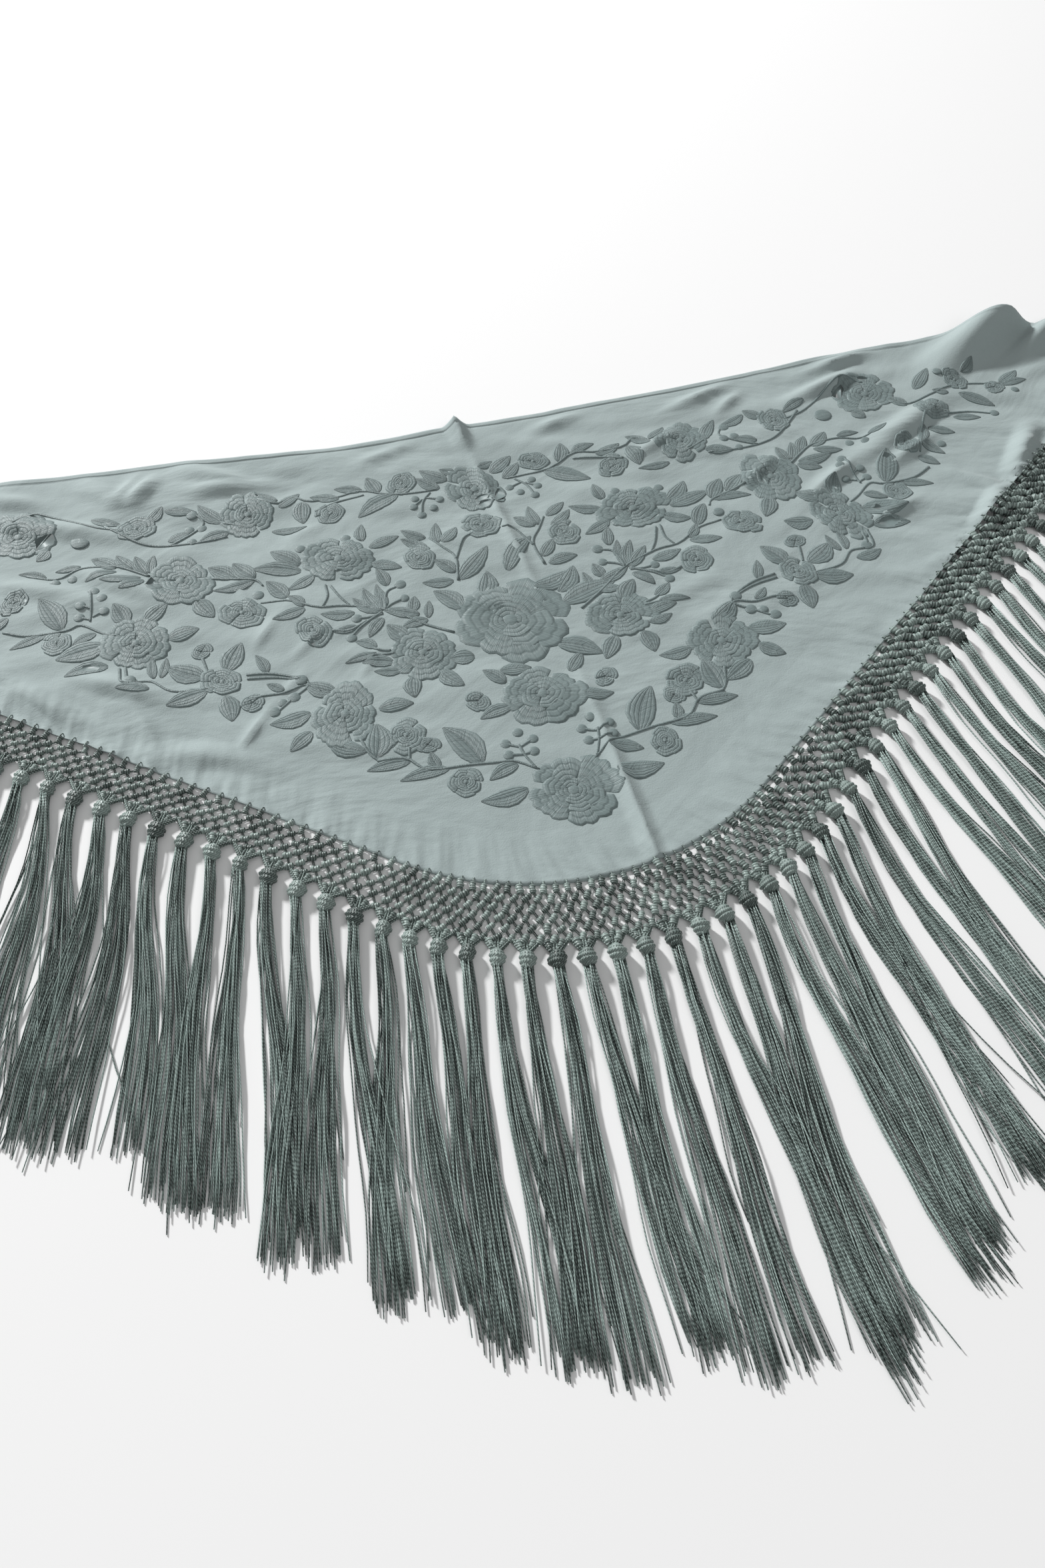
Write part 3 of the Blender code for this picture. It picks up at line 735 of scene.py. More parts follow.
    def gathers(self, points: Array) -> Array:
        """Height of the small gathers that the net's cords pull into the hem.

        Noise along the hem, drawn out across it, fades as an exponential of the
        distance from the hem, and less is left of it round the point.
        """
        place = self.cut.hem_uv(points)
        slanted = np.stack([place[..., 0] + 0.9 * place[..., 1], place[..., 1]], axis=-1)
        off = np.abs(place[..., 0] / self.cut.hem_length - 0.5)
        share = 0.35 + 0.65 * smooth((off - 0.10) / 0.10)
        fade = np.exp(-np.maximum(place[..., 1], 0.0) / self.gather_reach)
        return self.gather * share * fade * np.maximum(soft_noise(slanted, (0.0095, 0.028), 17), 0.0)

    def ridges(self, points: Array, table: Sequence[tuple]) -> Array:
        """Height of ridges along lines.

        Each fold is a ridge along a line: a squared cosine across it, or a sharper
        flank on a narrow one, times a squared sine that rises to its crest and falls
        again along it.  Where two meet, the higher one counts.

        Args:
            points: Plan points.
            table: Rows of start, end, crest height, half width and the crest's place
                along the ridge.

        Returns:
            One height for each point.
        """
        height = np.zeros(points.shape[:-1])
        for x0, y0, x1, y1, crest, half, place in table:
            way = np.array([x1 - x0, y1 - y0])
            length = math.hypot(*way)
            way = way / length
            offset = points - np.array([x0, y0])
            along = offset @ way / length
            across = offset[..., 0] * way[1] - offset[..., 1] * way[0]
            before = (along + self.fold_start) / (place + self.fold_start)
            rise = np.where(along < place, before, (1.0 - along) / (1.0 - place))
            rise = np.clip(rise, 0.0, 1.0)
            side = np.clip(np.abs(across) / half, 0.0, 1.0)
            flank = (1.0 - side) ** 1.5 if half <= self.sharp_below else np.cos(0.5 * np.pi * side) ** 2
            shape = crest * np.sin(0.5 * np.pi * rise) ** 2 * flank
            height = np.maximum(height, shape)
        return height

    def wrinkles(self, points: Array) -> Array:
        """Small soft wrinkles: stretched noise in two directions that blend, and a fine one."""
        x = points[..., 0]
        y = points[..., 1]
        rising = np.stack([x + 0.5 * y, y - 0.38 * x], axis=-1)
        falling = np.stack([x - 0.4 * y, y + 0.30 * x], axis=-1)
        share = smooth(0.5 + 0.9 * soft_noise(points, (0.16, 0.13), 13))
        broad = share * soft_noise(rising, (0.100, 0.034), 3)
        broad = broad + (1.0 - share) * soft_noise(falling, (0.120, 0.030), 4)
        middle = share * soft_noise(rising + 3.0, (0.045, 0.016), 5)
        middle = middle + (1.0 - share) * soft_noise(falling + 3.0, (0.055, 0.015), 6)
        small = soft_noise(points, (0.016, 0.012), 8)
        outer = smooth((np.abs(x + 0.02) - 0.16) / 0.16)
        upper = np.maximum(smooth((y + 0.28) / 0.20), 0.8 * outer)
        bloomed = np.maximum(smooth((y + 0.40) / 0.08), 0.8 * outer)
        swell = 0.0027 * upper * (broad + 0.5) + 0.0014 * bloomed * (middle + 0.4)
        return swell + 0.00030 * bloomed * small

    def base(self, points: Array) -> Array:
        """Height of the underside."""
        folded = np.maximum(self.lift(points), self.crease_share * self.ridges(points, self.creases))
        return self.rest + folded + np.maximum(self.wrinkles(points), 0.0) + self.gathers(points)

    def top(self, points: Array) -> Array:
        """Height of the upper face."""
        return self.base(points) + self.wall


@dataclass
class Cloth:
    """The crepe: one cut piece with a narrow hem along its top edge."""

    cut: Cut
    drape: Drape
    material: bpy.types.Material
    columns: int = 340
    rows: int = 124
    centre_crowding: float = 0.35
    side_share: float = 0.40
    hem_width: float = 0.005
    hem_raise: float = 0.0005
    hem_rows: tuple = (0.0, 0.003, 0.006, 0.0085, 0.0098, 0.0108, 0.0118, 0.0145, 0.019)

    def plan(self) -> Array:
        """Plan points of the cloth on a grid.

        The grid blends its four edges: the top edge, the outer stretch of either
        side, and the rest of the hem round the point.  A point is the blend of top
        and bottom plus the blend of left and right less the blend of the corners.

        Returns:
            Shape (rows, columns, 2).
        """
        u = np.linspace(0.0, 1.0, self.columns)
        u = u + self.centre_crowding * np.sin(2.0 * np.pi * u) / (2.0 * np.pi)
        v = np.concatenate([self.hem_rows, np.linspace(0.026, 1.0, self.rows - len(self.hem_rows))])
        length = self.cut.hem_length
        outer = self.side_share
        x = self.cut.half_width * (2.0 * u - 1.0)
        top = np.stack([x, self.cut.top_at(x)], axis=-1)
        bottom, _, _ = self.cut.hem_at(outer + (length - 2.0 * outer) * u, 0.0)
        left, _, _ = self.cut.hem_at(outer * v, 0.0)
        right, _, _ = self.cut.hem_at(length - outer * v, 0.0)
        uu = u[None, :, None]
        vv = v[:, None, None]
        ruled = (1.0 - vv) * top[None] + vv * bottom[None]
        sided = (1.0 - uu) * left[:, None] + uu * right[:, None]
        corners = (1.0 - uu) * (1.0 - vv) * top[0] + uu * (1.0 - vv) * top[-1]
        corners = corners + (1.0 - uu) * vv * bottom[0] + uu * vv * bottom[-1]
        return ruled + sided - corners

    def build(self) -> bpy.types.Object:
        """Make the cloth as a closed thin shell.

        Returns:
            The cloth's object.
        """
        plan = self.plan()
        below_edge = self.cut.top_at(plan[..., 0]) - plan[..., 1]
        hem = self.hem_raise * smooth((self.hem_width - below_edge) / 0.0008)
        hem = hem - 0.00025 * np.exp(-((below_edge - self.hem_width - 0.0004) / 0.0007) ** 2)
        low = self.drape.base(plan)
        high = low + self.drape.wall + hem
        uv = self.cut.hem_uv(plan)
        upper = Surface.grids(self.cut.placed(plan, high)[None], uv[None], flip=True)
        under = Surface.grids(self.cut.placed(plan, low)[None], uv[None])
        shell = Surface.join([upper, under])
        shell = self.close(shell, plan.shape[0], plan.shape[1])
        return shell.build("crepe_cloth", self.material)

    @staticmethod
    def close(shell: Surface, rows: int, columns: int) -> Surface:
        """Join the rims of the upper and lower grid with quads."""
        number = np.arange(rows * columns).reshape(rows, columns)
        rim = np.concatenate([number[0], number[1:, -1], number[-1, -2::-1], number[-2:0:-1, 0]])
        after = np.roll(rim, -1)
        layer = rows * columns
        walls = np.stack([rim, after, after + layer, rim + layer], axis=-1)
        uv = np.zeros((len(walls), 4, 2))
        return Surface(
            shell.vertices,
            np.concatenate([shell.quads, walls]),
            np.concatenate([shell.quad_uv, uv]),
            shell.tris,
            shell.tri_uv,
        )


@dataclass
class Motifs:
    """Tables of the embroidery, for the left half and the middle, in millimetres.

    Blooms: x, y, radius, petals of the outer ring, rings, turn in degrees, side.
    Leaves: base x and y, tip x and y, width, side.
    Berries: x, y, radius.  Stems: points along each.
    What lies off the middle is mirrored, unless its side says otherwise.
    """

    axis_band: float = 16.0
    blooms: tuple = (
        (1, -91, 26, 7, 2, 20, Side.RIGHT),
        (-3, -135, 16, 6, 2, 0, Side.RIGHT),
        (-6, -241, 43, 8, 3, 10, Side.RIGHT),
        (-1, -318, 28, 7, 2, 35, Side.RIGHT),
        (-2, -405, 31, 8, 3, 0, Side.RIGHT),
        (-368, -55, 27, 7, 2, 10, Side.BOTH),
        (-276, -69, 15, 6, 2, 30, Side.BOTH),
        (-186, -76, 23, 7, 2, 15, Side.BOTH),
        (-120, -92, 13, 5, 2, 0, Side.BOTH),
        (-57, -70, 13, 5, 2, 50, Side.BOTH),
        (-60, -160, 14, 5, 2, 10, Side.BOTH),
        (-122, -146, 27, 8, 2, 5, Side.BOTH),
        (-153, -216, 14, 5, 2, 70, Side.BOTH),
        (-246, -137, 26, 7, 2, 25, Side.BOTH),
        (-203, -183, 16, 7, 2, 0, Side.BOTH),
        (-284, -195, 25, 8, 2, 15, Side.BOTH),
        (-341, -181, 12, 5, 2, 40, Side.BOTH),
        (-372, -130, 12, 6, 2, 0, Side.BOTH),
        (-225, -248, 15, 6, 2, 20, Side.BOTH),
        (-237, -215, 8, 4, 1, 20, Side.BOTH),
        (-206, -274, 8, 5, 1, 0, Side.BOTH),
        (-143, -301, 27, 8, 2, 30, Side.BOTH),
        (-104, -331, 15, 6, 2, 10, Side.BOTH),
        (-91, -343, 8, 4, 1, 0, Side.BOTH),
        (-72, -380, 12, 5, 2, 30, Side.BOTH),
        (-77, -257, 25, 7, 2, 0, Side.BOTH),
        (-48, -313, 9, 5, 1, 0, Side.BOTH),
        (-416, -91, 15, 6, 2, 15, Side.BOTH),
        (-452, -60, 12, 6, 2, 0, Side.BOTH),
        (-484, -76, 9, 5, 1, 0, Side.BOTH),
    )
    leaves: tuple = (
        (-311, -50, -288, -61, 8, Side.BOTH),
        (-267, -63, -254, -51, 9, Side.BOTH),
        (-252, -55, -228, -63, 8, Side.BOTH),
        (-206, -81, -223, -57, 10, Side.BOTH),
        (-203, -92, -226, -98, 9, Side.BOTH),
        (-160, -67, -177, -54, 8, Side.BOTH),
        (-160, -75, -143, -61, 9, Side.BOTH),
        (-140, -72, -143, -95, 12, Side.BOTH),
        (-110, -76, -132, -68, 9, Side.BOTH),
        (-90, -70, -111, -63, 8, Side.BOTH),
        (-78, -77, -84, -57, 11, Side.BOTH),
        (-62, -82, -96, -101, 14, Side.BOTH),
        (-27, -84, -43, -69, 9, Side.BOTH),
        (-18, -75, -38, -60, 11, Side.BOTH),
        (-9, -68, -22, -62, 7, Side.BOTH),
        (-252, -91, -235, -84, 8, Side.BOTH),
        (-170, -99, -143, -101, 7, Side.BOTH),
        (-345, -76, -354, -86, 9, Side.BOTH),
        (-152, -144, -172, -125, 12, Side.BOTH),
        (-152, -151, -187, -141, 12, Side.BOTH),
        (-143, -158, -164, -167, 9, Side.BOTH),
        (-101, -131, -98, -112, 8, Side.BOTH),
        (-97, -140, -73, -132, 9, Side.BOTH),
        (-99, -156, -77, -166, 9, Side.BOTH),
        (-90, -183, -95, -164, 8, Side.BOTH),
        (-96, -201, -98, -180, 6, Side.BOTH),
        (-99, -210, -117, -191, 9, Side.BOTH),
        (-99, -210, -108, -183, 9, Side.BOTH),
        (-98, -209, -96, -186, 7, Side.BOTH),
        (-76, -215, -72, -200, 8, Side.BOTH),
        (-71, -219, -96, -209, 9, Side.BOTH),
        (-66, -225, -86, -229, 8, Side.BOTH),
        (-66, -224, -62, -207, 6, Side.BOTH),
        (-119, -206, -143, -201, 9, Side.BOTH),
        (-119, -220, -137, -221, 6, Side.BOTH),
        (-99, -216, -112, -231, 8, Side.BOTH),
        (-204, -145, -222, -129, 12, Side.BOTH),
        (-189, -150, -203, -130, 12, Side.BOTH),
        (-189, -151, -220, -154, 8, Side.BOTH),
        (-236, -160, -225, -181, 12, Side.BOTH),
        (-293, -111, -311, -96, 10, Side.BOTH),
        (-281, -115, -292, -97, 9, Side.BOTH),
        (-271, -123, -278, -102, 9, Side.BOTH),
        (-268, -123, -264, -105, 8, Side.BOTH),
        (-320, -103, -339, -103, 6, Side.BOTH),
        (-347, -108, -367, -99, 6, Side.BOTH),
        (-293, -115, -316, -121, 8, Side.BOTH),
        (-275, -126, -304, -124, 9, Side.BOTH),
        (-273, -129, -291, -137, 9, Side.BOTH),
        (-167, -177, -180, -156, 11, Side.BOTH),
        (-156, -190, -166, -176, 7, Side.BOTH),
        (-155, -192, -179, -197, 9, Side.BOTH),
        (-289, -174, -297, -153, 12, Side.BOTH),
        (-277, -175, -259, -162, 11, Side.BOTH),
        (-304, -193, -339, -199, 16, Side.BOTH),
        (-304, -214, -334, -217, 11, Side.BOTH),
        (-260, -197, -238, -192, 12, Side.BOTH),
        (-337, -168, -352, -134, 15, Side.BOTH),
        (-347, -169, -373, -179, 8, Side.BOTH),
        (-312, -177, -328, -187, 8, Side.BOTH),
        (-237, -241, -261, -225, 15, Side.BOTH),
        (-221, -239, -208, -216, 14, Side.BOTH),
        (-236, -255, -264, -262, 13, Side.BOTH),
        (-224, -262, -222, -286, 12, Side.BOTH),
        (-276, -246, -298, -241, 9, Side.BOTH),
        (-273, -235, -273, -213, 6, Side.BOTH),
        (-268, -235, -263, -216, 6, Side.BOTH),
        (-192, -249, -198, -230, 7, Side.BOTH),
        (-182, -268, -193, -259, 6, Side.BOTH),
        (-146, -279, -165, -266, 12, Side.BOTH),
        (-166, -294, -194, -297, 12, Side.BOTH),
        (-168, -311, -184, -324, 10, Side.BOTH),
        (-119, -302, -95, -303, 10, Side.BOTH),
        (-158, -324, -135, -337, 12, Side.BOTH),
        (-128, -345, -123, -317, 16, Side.BOTH),
        (-105, -353, -134, -354, 9, Side.BOTH),
        (-80, -366, -113, -368, 9, Side.BOTH),
        (-87, -364, -90, -350, 7, Side.BOTH),
        (-57, -368, -76, -333, 17, Side.BOTH),
        (-33, -374, -54, -382, 9, Side.BOTH),
        (-31, -396, -63, -398, 12, Side.BOTH),
        (-84, -243, -97, -225, 12, Side.BOTH),
        (-99, -261, -121, -256, 9, Side.BOTH),
        (-95, -270, -114, -266, 7, Side.BOTH),
        (-88, -277, -91, -297, 11, Side.BOTH),
        (-68, -276, -55, -295, 11, Side.BOTH),
        (-109, -244, -123, -234, 8, Side.BOTH),
        (-110, -250, -133, -253, 6, Side.BOTH),
        (-38, -222, -55, -199, 13, Side.BOTH),
        (-26, -289, -4, -291, 10, Side.LEFT),
        (-24, -302, -37, -287, 9, Side.BOTH),
        (-25, -324, -48, -329, 9, Side.BOTH),
        (-35, -190, -7, -162, 13, Side.LEFT),
        (-38, -190, -61, -187, 9, Side.BOTH),
        (-35, -182, -48, -166, 9, Side.BOTH),
        (-50, -138, -67, -126, 8, Side.BOTH),
        (-42, -147, -39, -124, 8, Side.BOTH),
        (-39, -147, -25, -133, 9, Side.BOTH),
        (-51, -150, -69, -136, 8, Side.BOTH),
        (37, -234, 80, -222, 16, Side.RIGHT),
        (22, -273, 51, -289, 14, Side.RIGHT),
        (20, -212, 52, -202, 13, Side.RIGHT),
        (4, -190, 30, -160, 13, Side.RIGHT),
        (-20, -212, -12, -188, 13, Side.LEFT),
        (-40, -270, -58, -268, 12, Side.LEFT),
        (-398, -80, -386, -66, 9, Side.BOTH),
        (-412, -62, -432, -42, 10, Side.BOTH),
        (-440, -74, -428, -68, 7, Side.BOTH),
        (-448, -76, -472, -97, 9, Side.BOTH),
        (-430, -104, -452, -110, 8, Side.BOTH),
        (-398, -110, -386, -132, 8, Side.BOTH),
        (-400, -114, -420, -124, 8, Side.BOTH),
        (-462, -52, -478, -38, 8, Side.BOTH),
        (-492, -70, -514, -58, 9, Side.BOTH),
        (-492, -74, -516, -72, 8, Side.BOTH),
        (-384, -128, -400, -146, 9, Side.BOTH),
        (-376, -146, -390, -158, 8, Side.BOTH),
    )
    berries: tuple = (
        (-320, -73, 8.0), (-234, -81, 4.5), (-224, -82, 4.5), (-230, -66, 5.0), (-233, -96, 4.0),
        (-53, -100, 4.0), (-48, -110, 4.2), (-37, -104, 4.0), (-30, -96, 4.0), (-50, -91, 4.0),
        (-113, -124, 4.5), (-150, -127, 4.5), (-80, -184, 5.0), (-80, -199, 4.2), (-119, -212, 4.5),
        (-126, -229, 4.5), (-341, -117, 4.5), (-327, -115, 4.5), (-189, -167, 5.0),
        (-312, -134, 5.0), (-306, -143, 4.5), (-322, -147, 4.5), (-305, -156, 4.5), (-324, -158, 4.5),
        (-290, -234, 5.0), (-169, -261, 5.0), (-176, -276, 5.0), (-192, -286, 5.0), (-185, -279, 4.0),
        (-38, -355, 4.2), (-27, -347, 4.2), (-18, -355, 4.2), (-20, -366, 4.2), (-38, -365, 4.2),
        (-440, -48, 4.5), (-404, -134, 4.5), (-468, -108, 4.5), (-500, -84, 4.0),
    )
    stems: tuple = (
        ((-372, -40), (-356, -31), (-338, -40), (-308, -62), (-282, -70)),
        ((-300, -62), (-275, -86), (-255, -95), (-228, -98), (-205, -96)),
        ((-250, -96), (-232, -86), (-222, -76), (-230, -62)),
        ((-206, -81), (-196, -86), (-186, -90)),
        ((-176, -60), (-160, -70), (-148, -63), (-136, -72), (-112, -73), (-92, -70), (-66, -82), (-30, -84)),
        ((-132, -86), (-112, -80), (-90, -76)),
        ((-48, -110), (-44, -96), (-36, -86)),
        ((-53, -100), (-44, -93)),
        ((-30, -96), (-40, -92)),
        ((-50, -243), (-71, -228), (-96, -208), (-125, -196), (-146, -193), (-167, -180), (-188, -176)),
        ((-133, -172), (-128, -186), (-122, -196)),
        ((-137, -170), (-137, -183), (-142, -193)),
        ((-99, -210), (-116, -220), (-126, -228)),
        ((-96, -208), (-92, -190), (-82, -185)),
        ((-80, -199), (-90, -203), (-96, -208)),
        ((-119, -212), (-110, -213), (-99, -212)),
        ((-139, -219), (-126, -222), (-112, -216)),
        ((-269, -126), (-281, -117), (-296, -108), (-320, -106), (-341, -111), (-362, -102)),
        ((-222, -140), (-204, -146), (-189, -151), (-184, -158)),
        ((-380, -160), (-362, -168), (-335, -169), (-323, -166), (-308, -178), (-298, -184)),
        ((-314, -132), (-314, -148), (-316, -164)),
        ((-305, -156), (-314, -160)),
        ((-324, -158), (-316, -162)),
        ((-322, -147), (-314, -152)),
        ((-293, -218), (-290, -235), (-275, -237), (-261, -250), (-236, -253)),
        ((-297, -218), (-296, -234), (-290, -238)),
        ((-237, -222), (-234, -238)),
        ((-207, -246), (-188, -250), (-170, -259), (-164, -267), (-176, -276), (-190, -287)),
        ((-207, -250), (-186, -254), (-168, -261)),
        ((-212, -272), (-198, -269), (-182, -270), (-166, -266), (-156, -276)),
        ((-128, -347), (-108, -350), (-95, -363), (-68, -366), (-47, -369), (-35, -371), (-20, -382)),
        ((-104, -342), (-106, -352)),
        ((-136, -326), (-132, -340), (-126, -348)),
        ((-29, -358), (-27, -368), (-22, -380)),
        ((-38, -355), (-29, -360)),
        ((-18, -355), (-28, -360)),
        ((-20, -366), (-27, -367)),
        ((-38, -365), (-28, -367)),
        ((-100, -249), (-109, -246), (-118, -239)),
        ((-98, -252), (-112, -251)),
        ((-35, -190), (-32, -165), (-41, -150), (-48, -138)),
        ((-32, -168), (-22, -148), (-12, -142)),
        ((-384, -70), (-400, -78), (-424, -72), (-444, -66), (-470, -68), (-492, -72)),
        ((-404, -98), (-392, -118), (-380, -142)),
        ((-424, -98), (-446, -100), (-466, -108)),
    )


@dataclass
class Embroidery:
    """Satin stitch flowers, leaves, stems and berries, raised on the cloth."""

    cut: Cut
    drape: Drape
    motifs: Motifs
    material: bpy.types.Material
    petal_height: float = 0.00072
    leaf_height: float = 0.00075
    layer_step: float = 0.00026
    bloom_growth: float = 1.10
    leaf_growth: float = 1.38
    leaf_length: float = 1.10
    sink: float = 0.00030
    seed: int = 21
    along: tuple = (0.0, 0.04, 0.14, 0.32, 0.52, 0.72, 0.88, 0.965, 1.0)
    across: tuple = (-1.0, -0.93, -0.76, -0.50, -0.24, 0.0, 0.24, 0.50, 0.76, 0.93, 1.0)

    def mirrored(self, rows: Iterable[tuple], xs: Sequence[int]) -> list[tuple]:
        """Rows of a table with the mirrored ones added.

        Args:
            rows: Table rows whose last value is a Side.
            xs: Columns that hold an x.

        Returns:
            The rows without their side, and the mirrored ones after them.
        """
        found = []
        for row in rows:
            values = row[:-1]
            found.append(values)
            if row[-1] is Side.BOTH:
                found.append(tuple(-v if k in xs else v for k, v in enumerate(values)))
        return found

    def petal_plan(self, table: Array) -> tuple[Array, Array]:
        """Plan points and UV of many petals.

        A petal is part of a ring sector: radius from the bloom's middle runs from
        near to rim, and the angle spreads to both sides.  The rim dips between
        small scallops and falls off at the sides.  The whole bloom is drawn out a
        little along one axis.

        Args:
            table: One row for each petal: x, y, heading, half angle, near and far
                radius, scallops, depth of the scallops, stretch and its axis.

        Returns:
            Points of shape (petals, rows, columns, 2), and the UV.
        """
        s = np.array(self.along)[None, :, None]
        t = np.array(self.across)[None, None, :]
        x, y, heading, half, near, far, scallops, dip, stretch, axis = (
            table[:, k, None, None] for k in range(10)
        )
        rim = 1.0 - dip * (0.5 - 0.5 * np.cos(2.0 * np.pi * scallops * (t + 1.0) / 2.0))
        rim = rim - 0.20 * np.abs(t) ** 5
        reach = near + (far * rim - near) * s
        spread = half * t * (0.72 + 0.28 * s)
        angle = heading + spread
        along = reach * np.cos(angle - axis) * stretch
        beside = reach * np.sin(angle - axis) / stretch
        points = np.stack([
            x + along * np.cos(axis) - beside * np.sin(axis),
            y + along * np.sin(axis) + beside * np.cos(axis),
        ], axis=-1)
        number = np.arange(len(table))[:, None, None] * 7.3
        stitch = (angle - heading) * (0.35 * far + 0.65 * reach) / MM + number
        uv = np.stack([stitch + 0.0 * s, np.broadcast_to(s, stitch.shape)], axis=-1)
        return points, uv

    def leaf_plan(self, table: Array) -> tuple[Array, Array]:
        """Plan points and UV of many leaves.

        A leaf's middle line runs from base to tip with a slight bend, and its half
        width is a sine of the way along, fuller near the base.  The stitches slant
        away from the vein.

        Args:
            table: One row for each leaf: base x and y, tip x and y, width, bend.

        Returns:
            Points of shape (leaves, rows, columns, 2), and the UV.
        """
        s = np.array(self.along)[None, :, None]
        t = np.array(self.across)[None, None, :]
        base = table[:, 0:2]
        way = table[:, 2:4] - base
        length = np.hypot(way[:, 0], way[:, 1])
        way = way / length[:, None]
        length = length * self.leaf_length
        side = np.stack([-way[:, 1], way[:, 0]], axis=-1)
        width = table[:, 4][:, None, None]
        bend = table[:, 5][:, None, None]
        length = length[:, None, None]
        half = 0.5 * width * np.maximum(np.sin(np.pi * s ** 0.82) ** 0.85, 0.06)
        off = half * t + bend * length * np.sin(np.pi * s)
        run = length * s
        points = (
            base[:, None, None, :]
            + run[..., None] * way[:, None, None, :]
            + off[..., None] * side[:, None, None, :]
        )
        number = np.arange(len(table))[:, None, None] * 5.7
        stitch = (run - 0.8 * half * np.abs(t)) / MM + number
        uv = np.stack([stitch, 0.25 + 0.75 * np.abs(t) + 0.0 * stitch], axis=-1)
        return points, uv

    def pads(self, plan: Array, uv: Array, crown: Array, level: Array, vein: bool) -> Surface:
        """Raised pads over plan grids, closed by a flat underside.

        The height rises steeply from the rim and then gently to the crown, as the
        fifth root of the way in from the nearest edge.

        Args:
            plan: Shape (pads, rows, columns, 2).
            uv: UV of the same shape.
            crown: Height of each pad.
            level: Height of each pad's own layer over the cloth.
            vein: Whether a groove runs along the middle.

        Returns:
            The pads as one surface.
        """
        s = np.array(self.along)[None, :, None]
        t = np.array(self.across)[None, None, :]
        inward = np.minimum(4.0 * s * (1.0 - s), 1.0) * (1.0 - t ** 2)
        shape = np.clip(inward, 0.0, 1.0) ** 0.20
        if vein:
            shape = shape * (1.0 - 0.42 * np.exp(-(t / 0.16) ** 2) * np.sin(np.pi * s) ** 0.3)
        cloth = self.drape.top(plan)
        height = cloth - self.sink + level[:, None, None] * shape ** 0.5
        height = height + (self.sink + crown[:, None, None]) * shape
        points = self.cut.placed(plan, height)
        upper = Surface.grids(points, uv, flip=True)
        return self.floored(upper, *plan.shape[:3])

    @staticmethod
    def floored(upper: Surface, pads: int, rows: int, columns: int) -> Surface:
        """Close pads below with strips between their rims and a fan at either end.

        Args:
            upper: The pads' upper faces.
            pads: Number of pads.
            rows: Rows of each pad's grid.
            columns: Columns of each pad's grid.

        Returns:
            The upper faces with an underside that shares their rim.
        """
        number = np.arange(pads * rows * columns).reshape(pads, rows, columns)
        left = number[:, :, 0]
        right = number[:, :, -1]
        strips = np.stack([left[:, :-1], right[:, :-1], right[:, 1:], left[:, 1:]], axis=-1).reshape(-1, 4)
        corner = np.broadcast_to(number[:, :, :1], (pads, rows, columns - 2))
        here = number[:, :, 1:-1]
        after = number[:, :, 2:]
        near = np.stack([corner[:, 0], here[:, 0], after[:, 0]], axis=-1).reshape(-1, 3)
        far = np.stack([corner[:, -1], after[:, -1], here[:, -1]], axis=-1).reshape(-1, 3)
        return Surface(
            upper.vertices,
            np.concatenate([upper.quads, strips]),
            np.concatenate([upper.quad_uv, np.zeros((len(strips), 4, 2))]),
            np.concatenate([upper.tris, near, far]),
            np.concatenate([upper.tri_uv, np.zeros((2 * len(near), 3, 2))]),
        )

    def bloom_tables(self) -> tuple[Array, Array, Array]:
        """Petals of all blooms: their table, crowns and layers.

        The petals of each ring stand between those of the ring outside it, and
        every ring lies a step higher than the last.

        Returns:
            The petals' table, heights and levels.
        """
        draw = np.random.default_rng(self.seed)
        rows = []
        crowns = []
        levels = []
        for x, y, size, petals, rings, turn in self.mirrored(self.motifs.blooms, (0,)):
            radius = self.bloom_growth * size
            stretch = 1.0 + draw.uniform(0.02, 0.16)
            axis = draw.uniform(0.0, math.pi)
            for ring in range(rings):
                share = 1.0 - ring / (rings + 0.35)
                count = max(petals - 2 * ring, 3)
                start = math.radians(turn) + ring * math.pi / count
                for k in range(count):
                    heading = start + 2.0 * math.pi * k / count + draw.uniform(-0.15, 0.15)
                    far = radius * share * draw.uniform(0.86, 1.10)
                    near = far * (0.18 if rings - ring > 1 else 0.02)
                    half = 1.20 * math.pi / count * draw.uniform(0.90, 1.12)
                    scallops = 3.0 if radius > 20.0 and ring == 0 else 2.0 if radius > 10.0 else 1.0
                    dip = 0.07 if scallops > 1.0 else 0.02
                    place = (x * MM, y * MM, heading, half, near * MM, far * MM)
                    rows.append(place + (scallops, dip, stretch, axis))
                    crowns.append(self.petal_height * (0.75 + 0.25 * draw.random()) * (1.0 - 0.20 * ring))
                    levels.append(self.layer_step * ring + 0.00009 * (k % 3))
        return np.array(rows), np.array(crowns), np.array(levels)

    def blooms(self) -> bpy.types.Object:
        """All petals as one piece."""
        table, crowns, levels = self.bloom_tables()
        plan, uv = self.petal_plan(table)
        return self.pads(plan, uv, crowns, levels, False).build("stitched_blooms", self.material)

    def leaves(self) -> bpy.types.Object:
        """All leaves as one piece."""
        draw = np.random.default_rng(self.seed + 1)
        rows = [
            (a * MM, b * MM, c * MM, d * MM, self.leaf_growth * w * MM, draw.uniform(-0.10, 0.10))
            for a, b, c, d, w in self.mirrored(self.motifs.leaves, (0, 2))
        ]
        table = np.array(rows)
        plan, uv = self.leaf_plan(table)
        crowns = np.full(len(table), self.leaf_height)
        levels = np.zeros(len(table))
        return self.pads(plan, uv, crowns, levels, True).build("stitched_leaves", self.material)

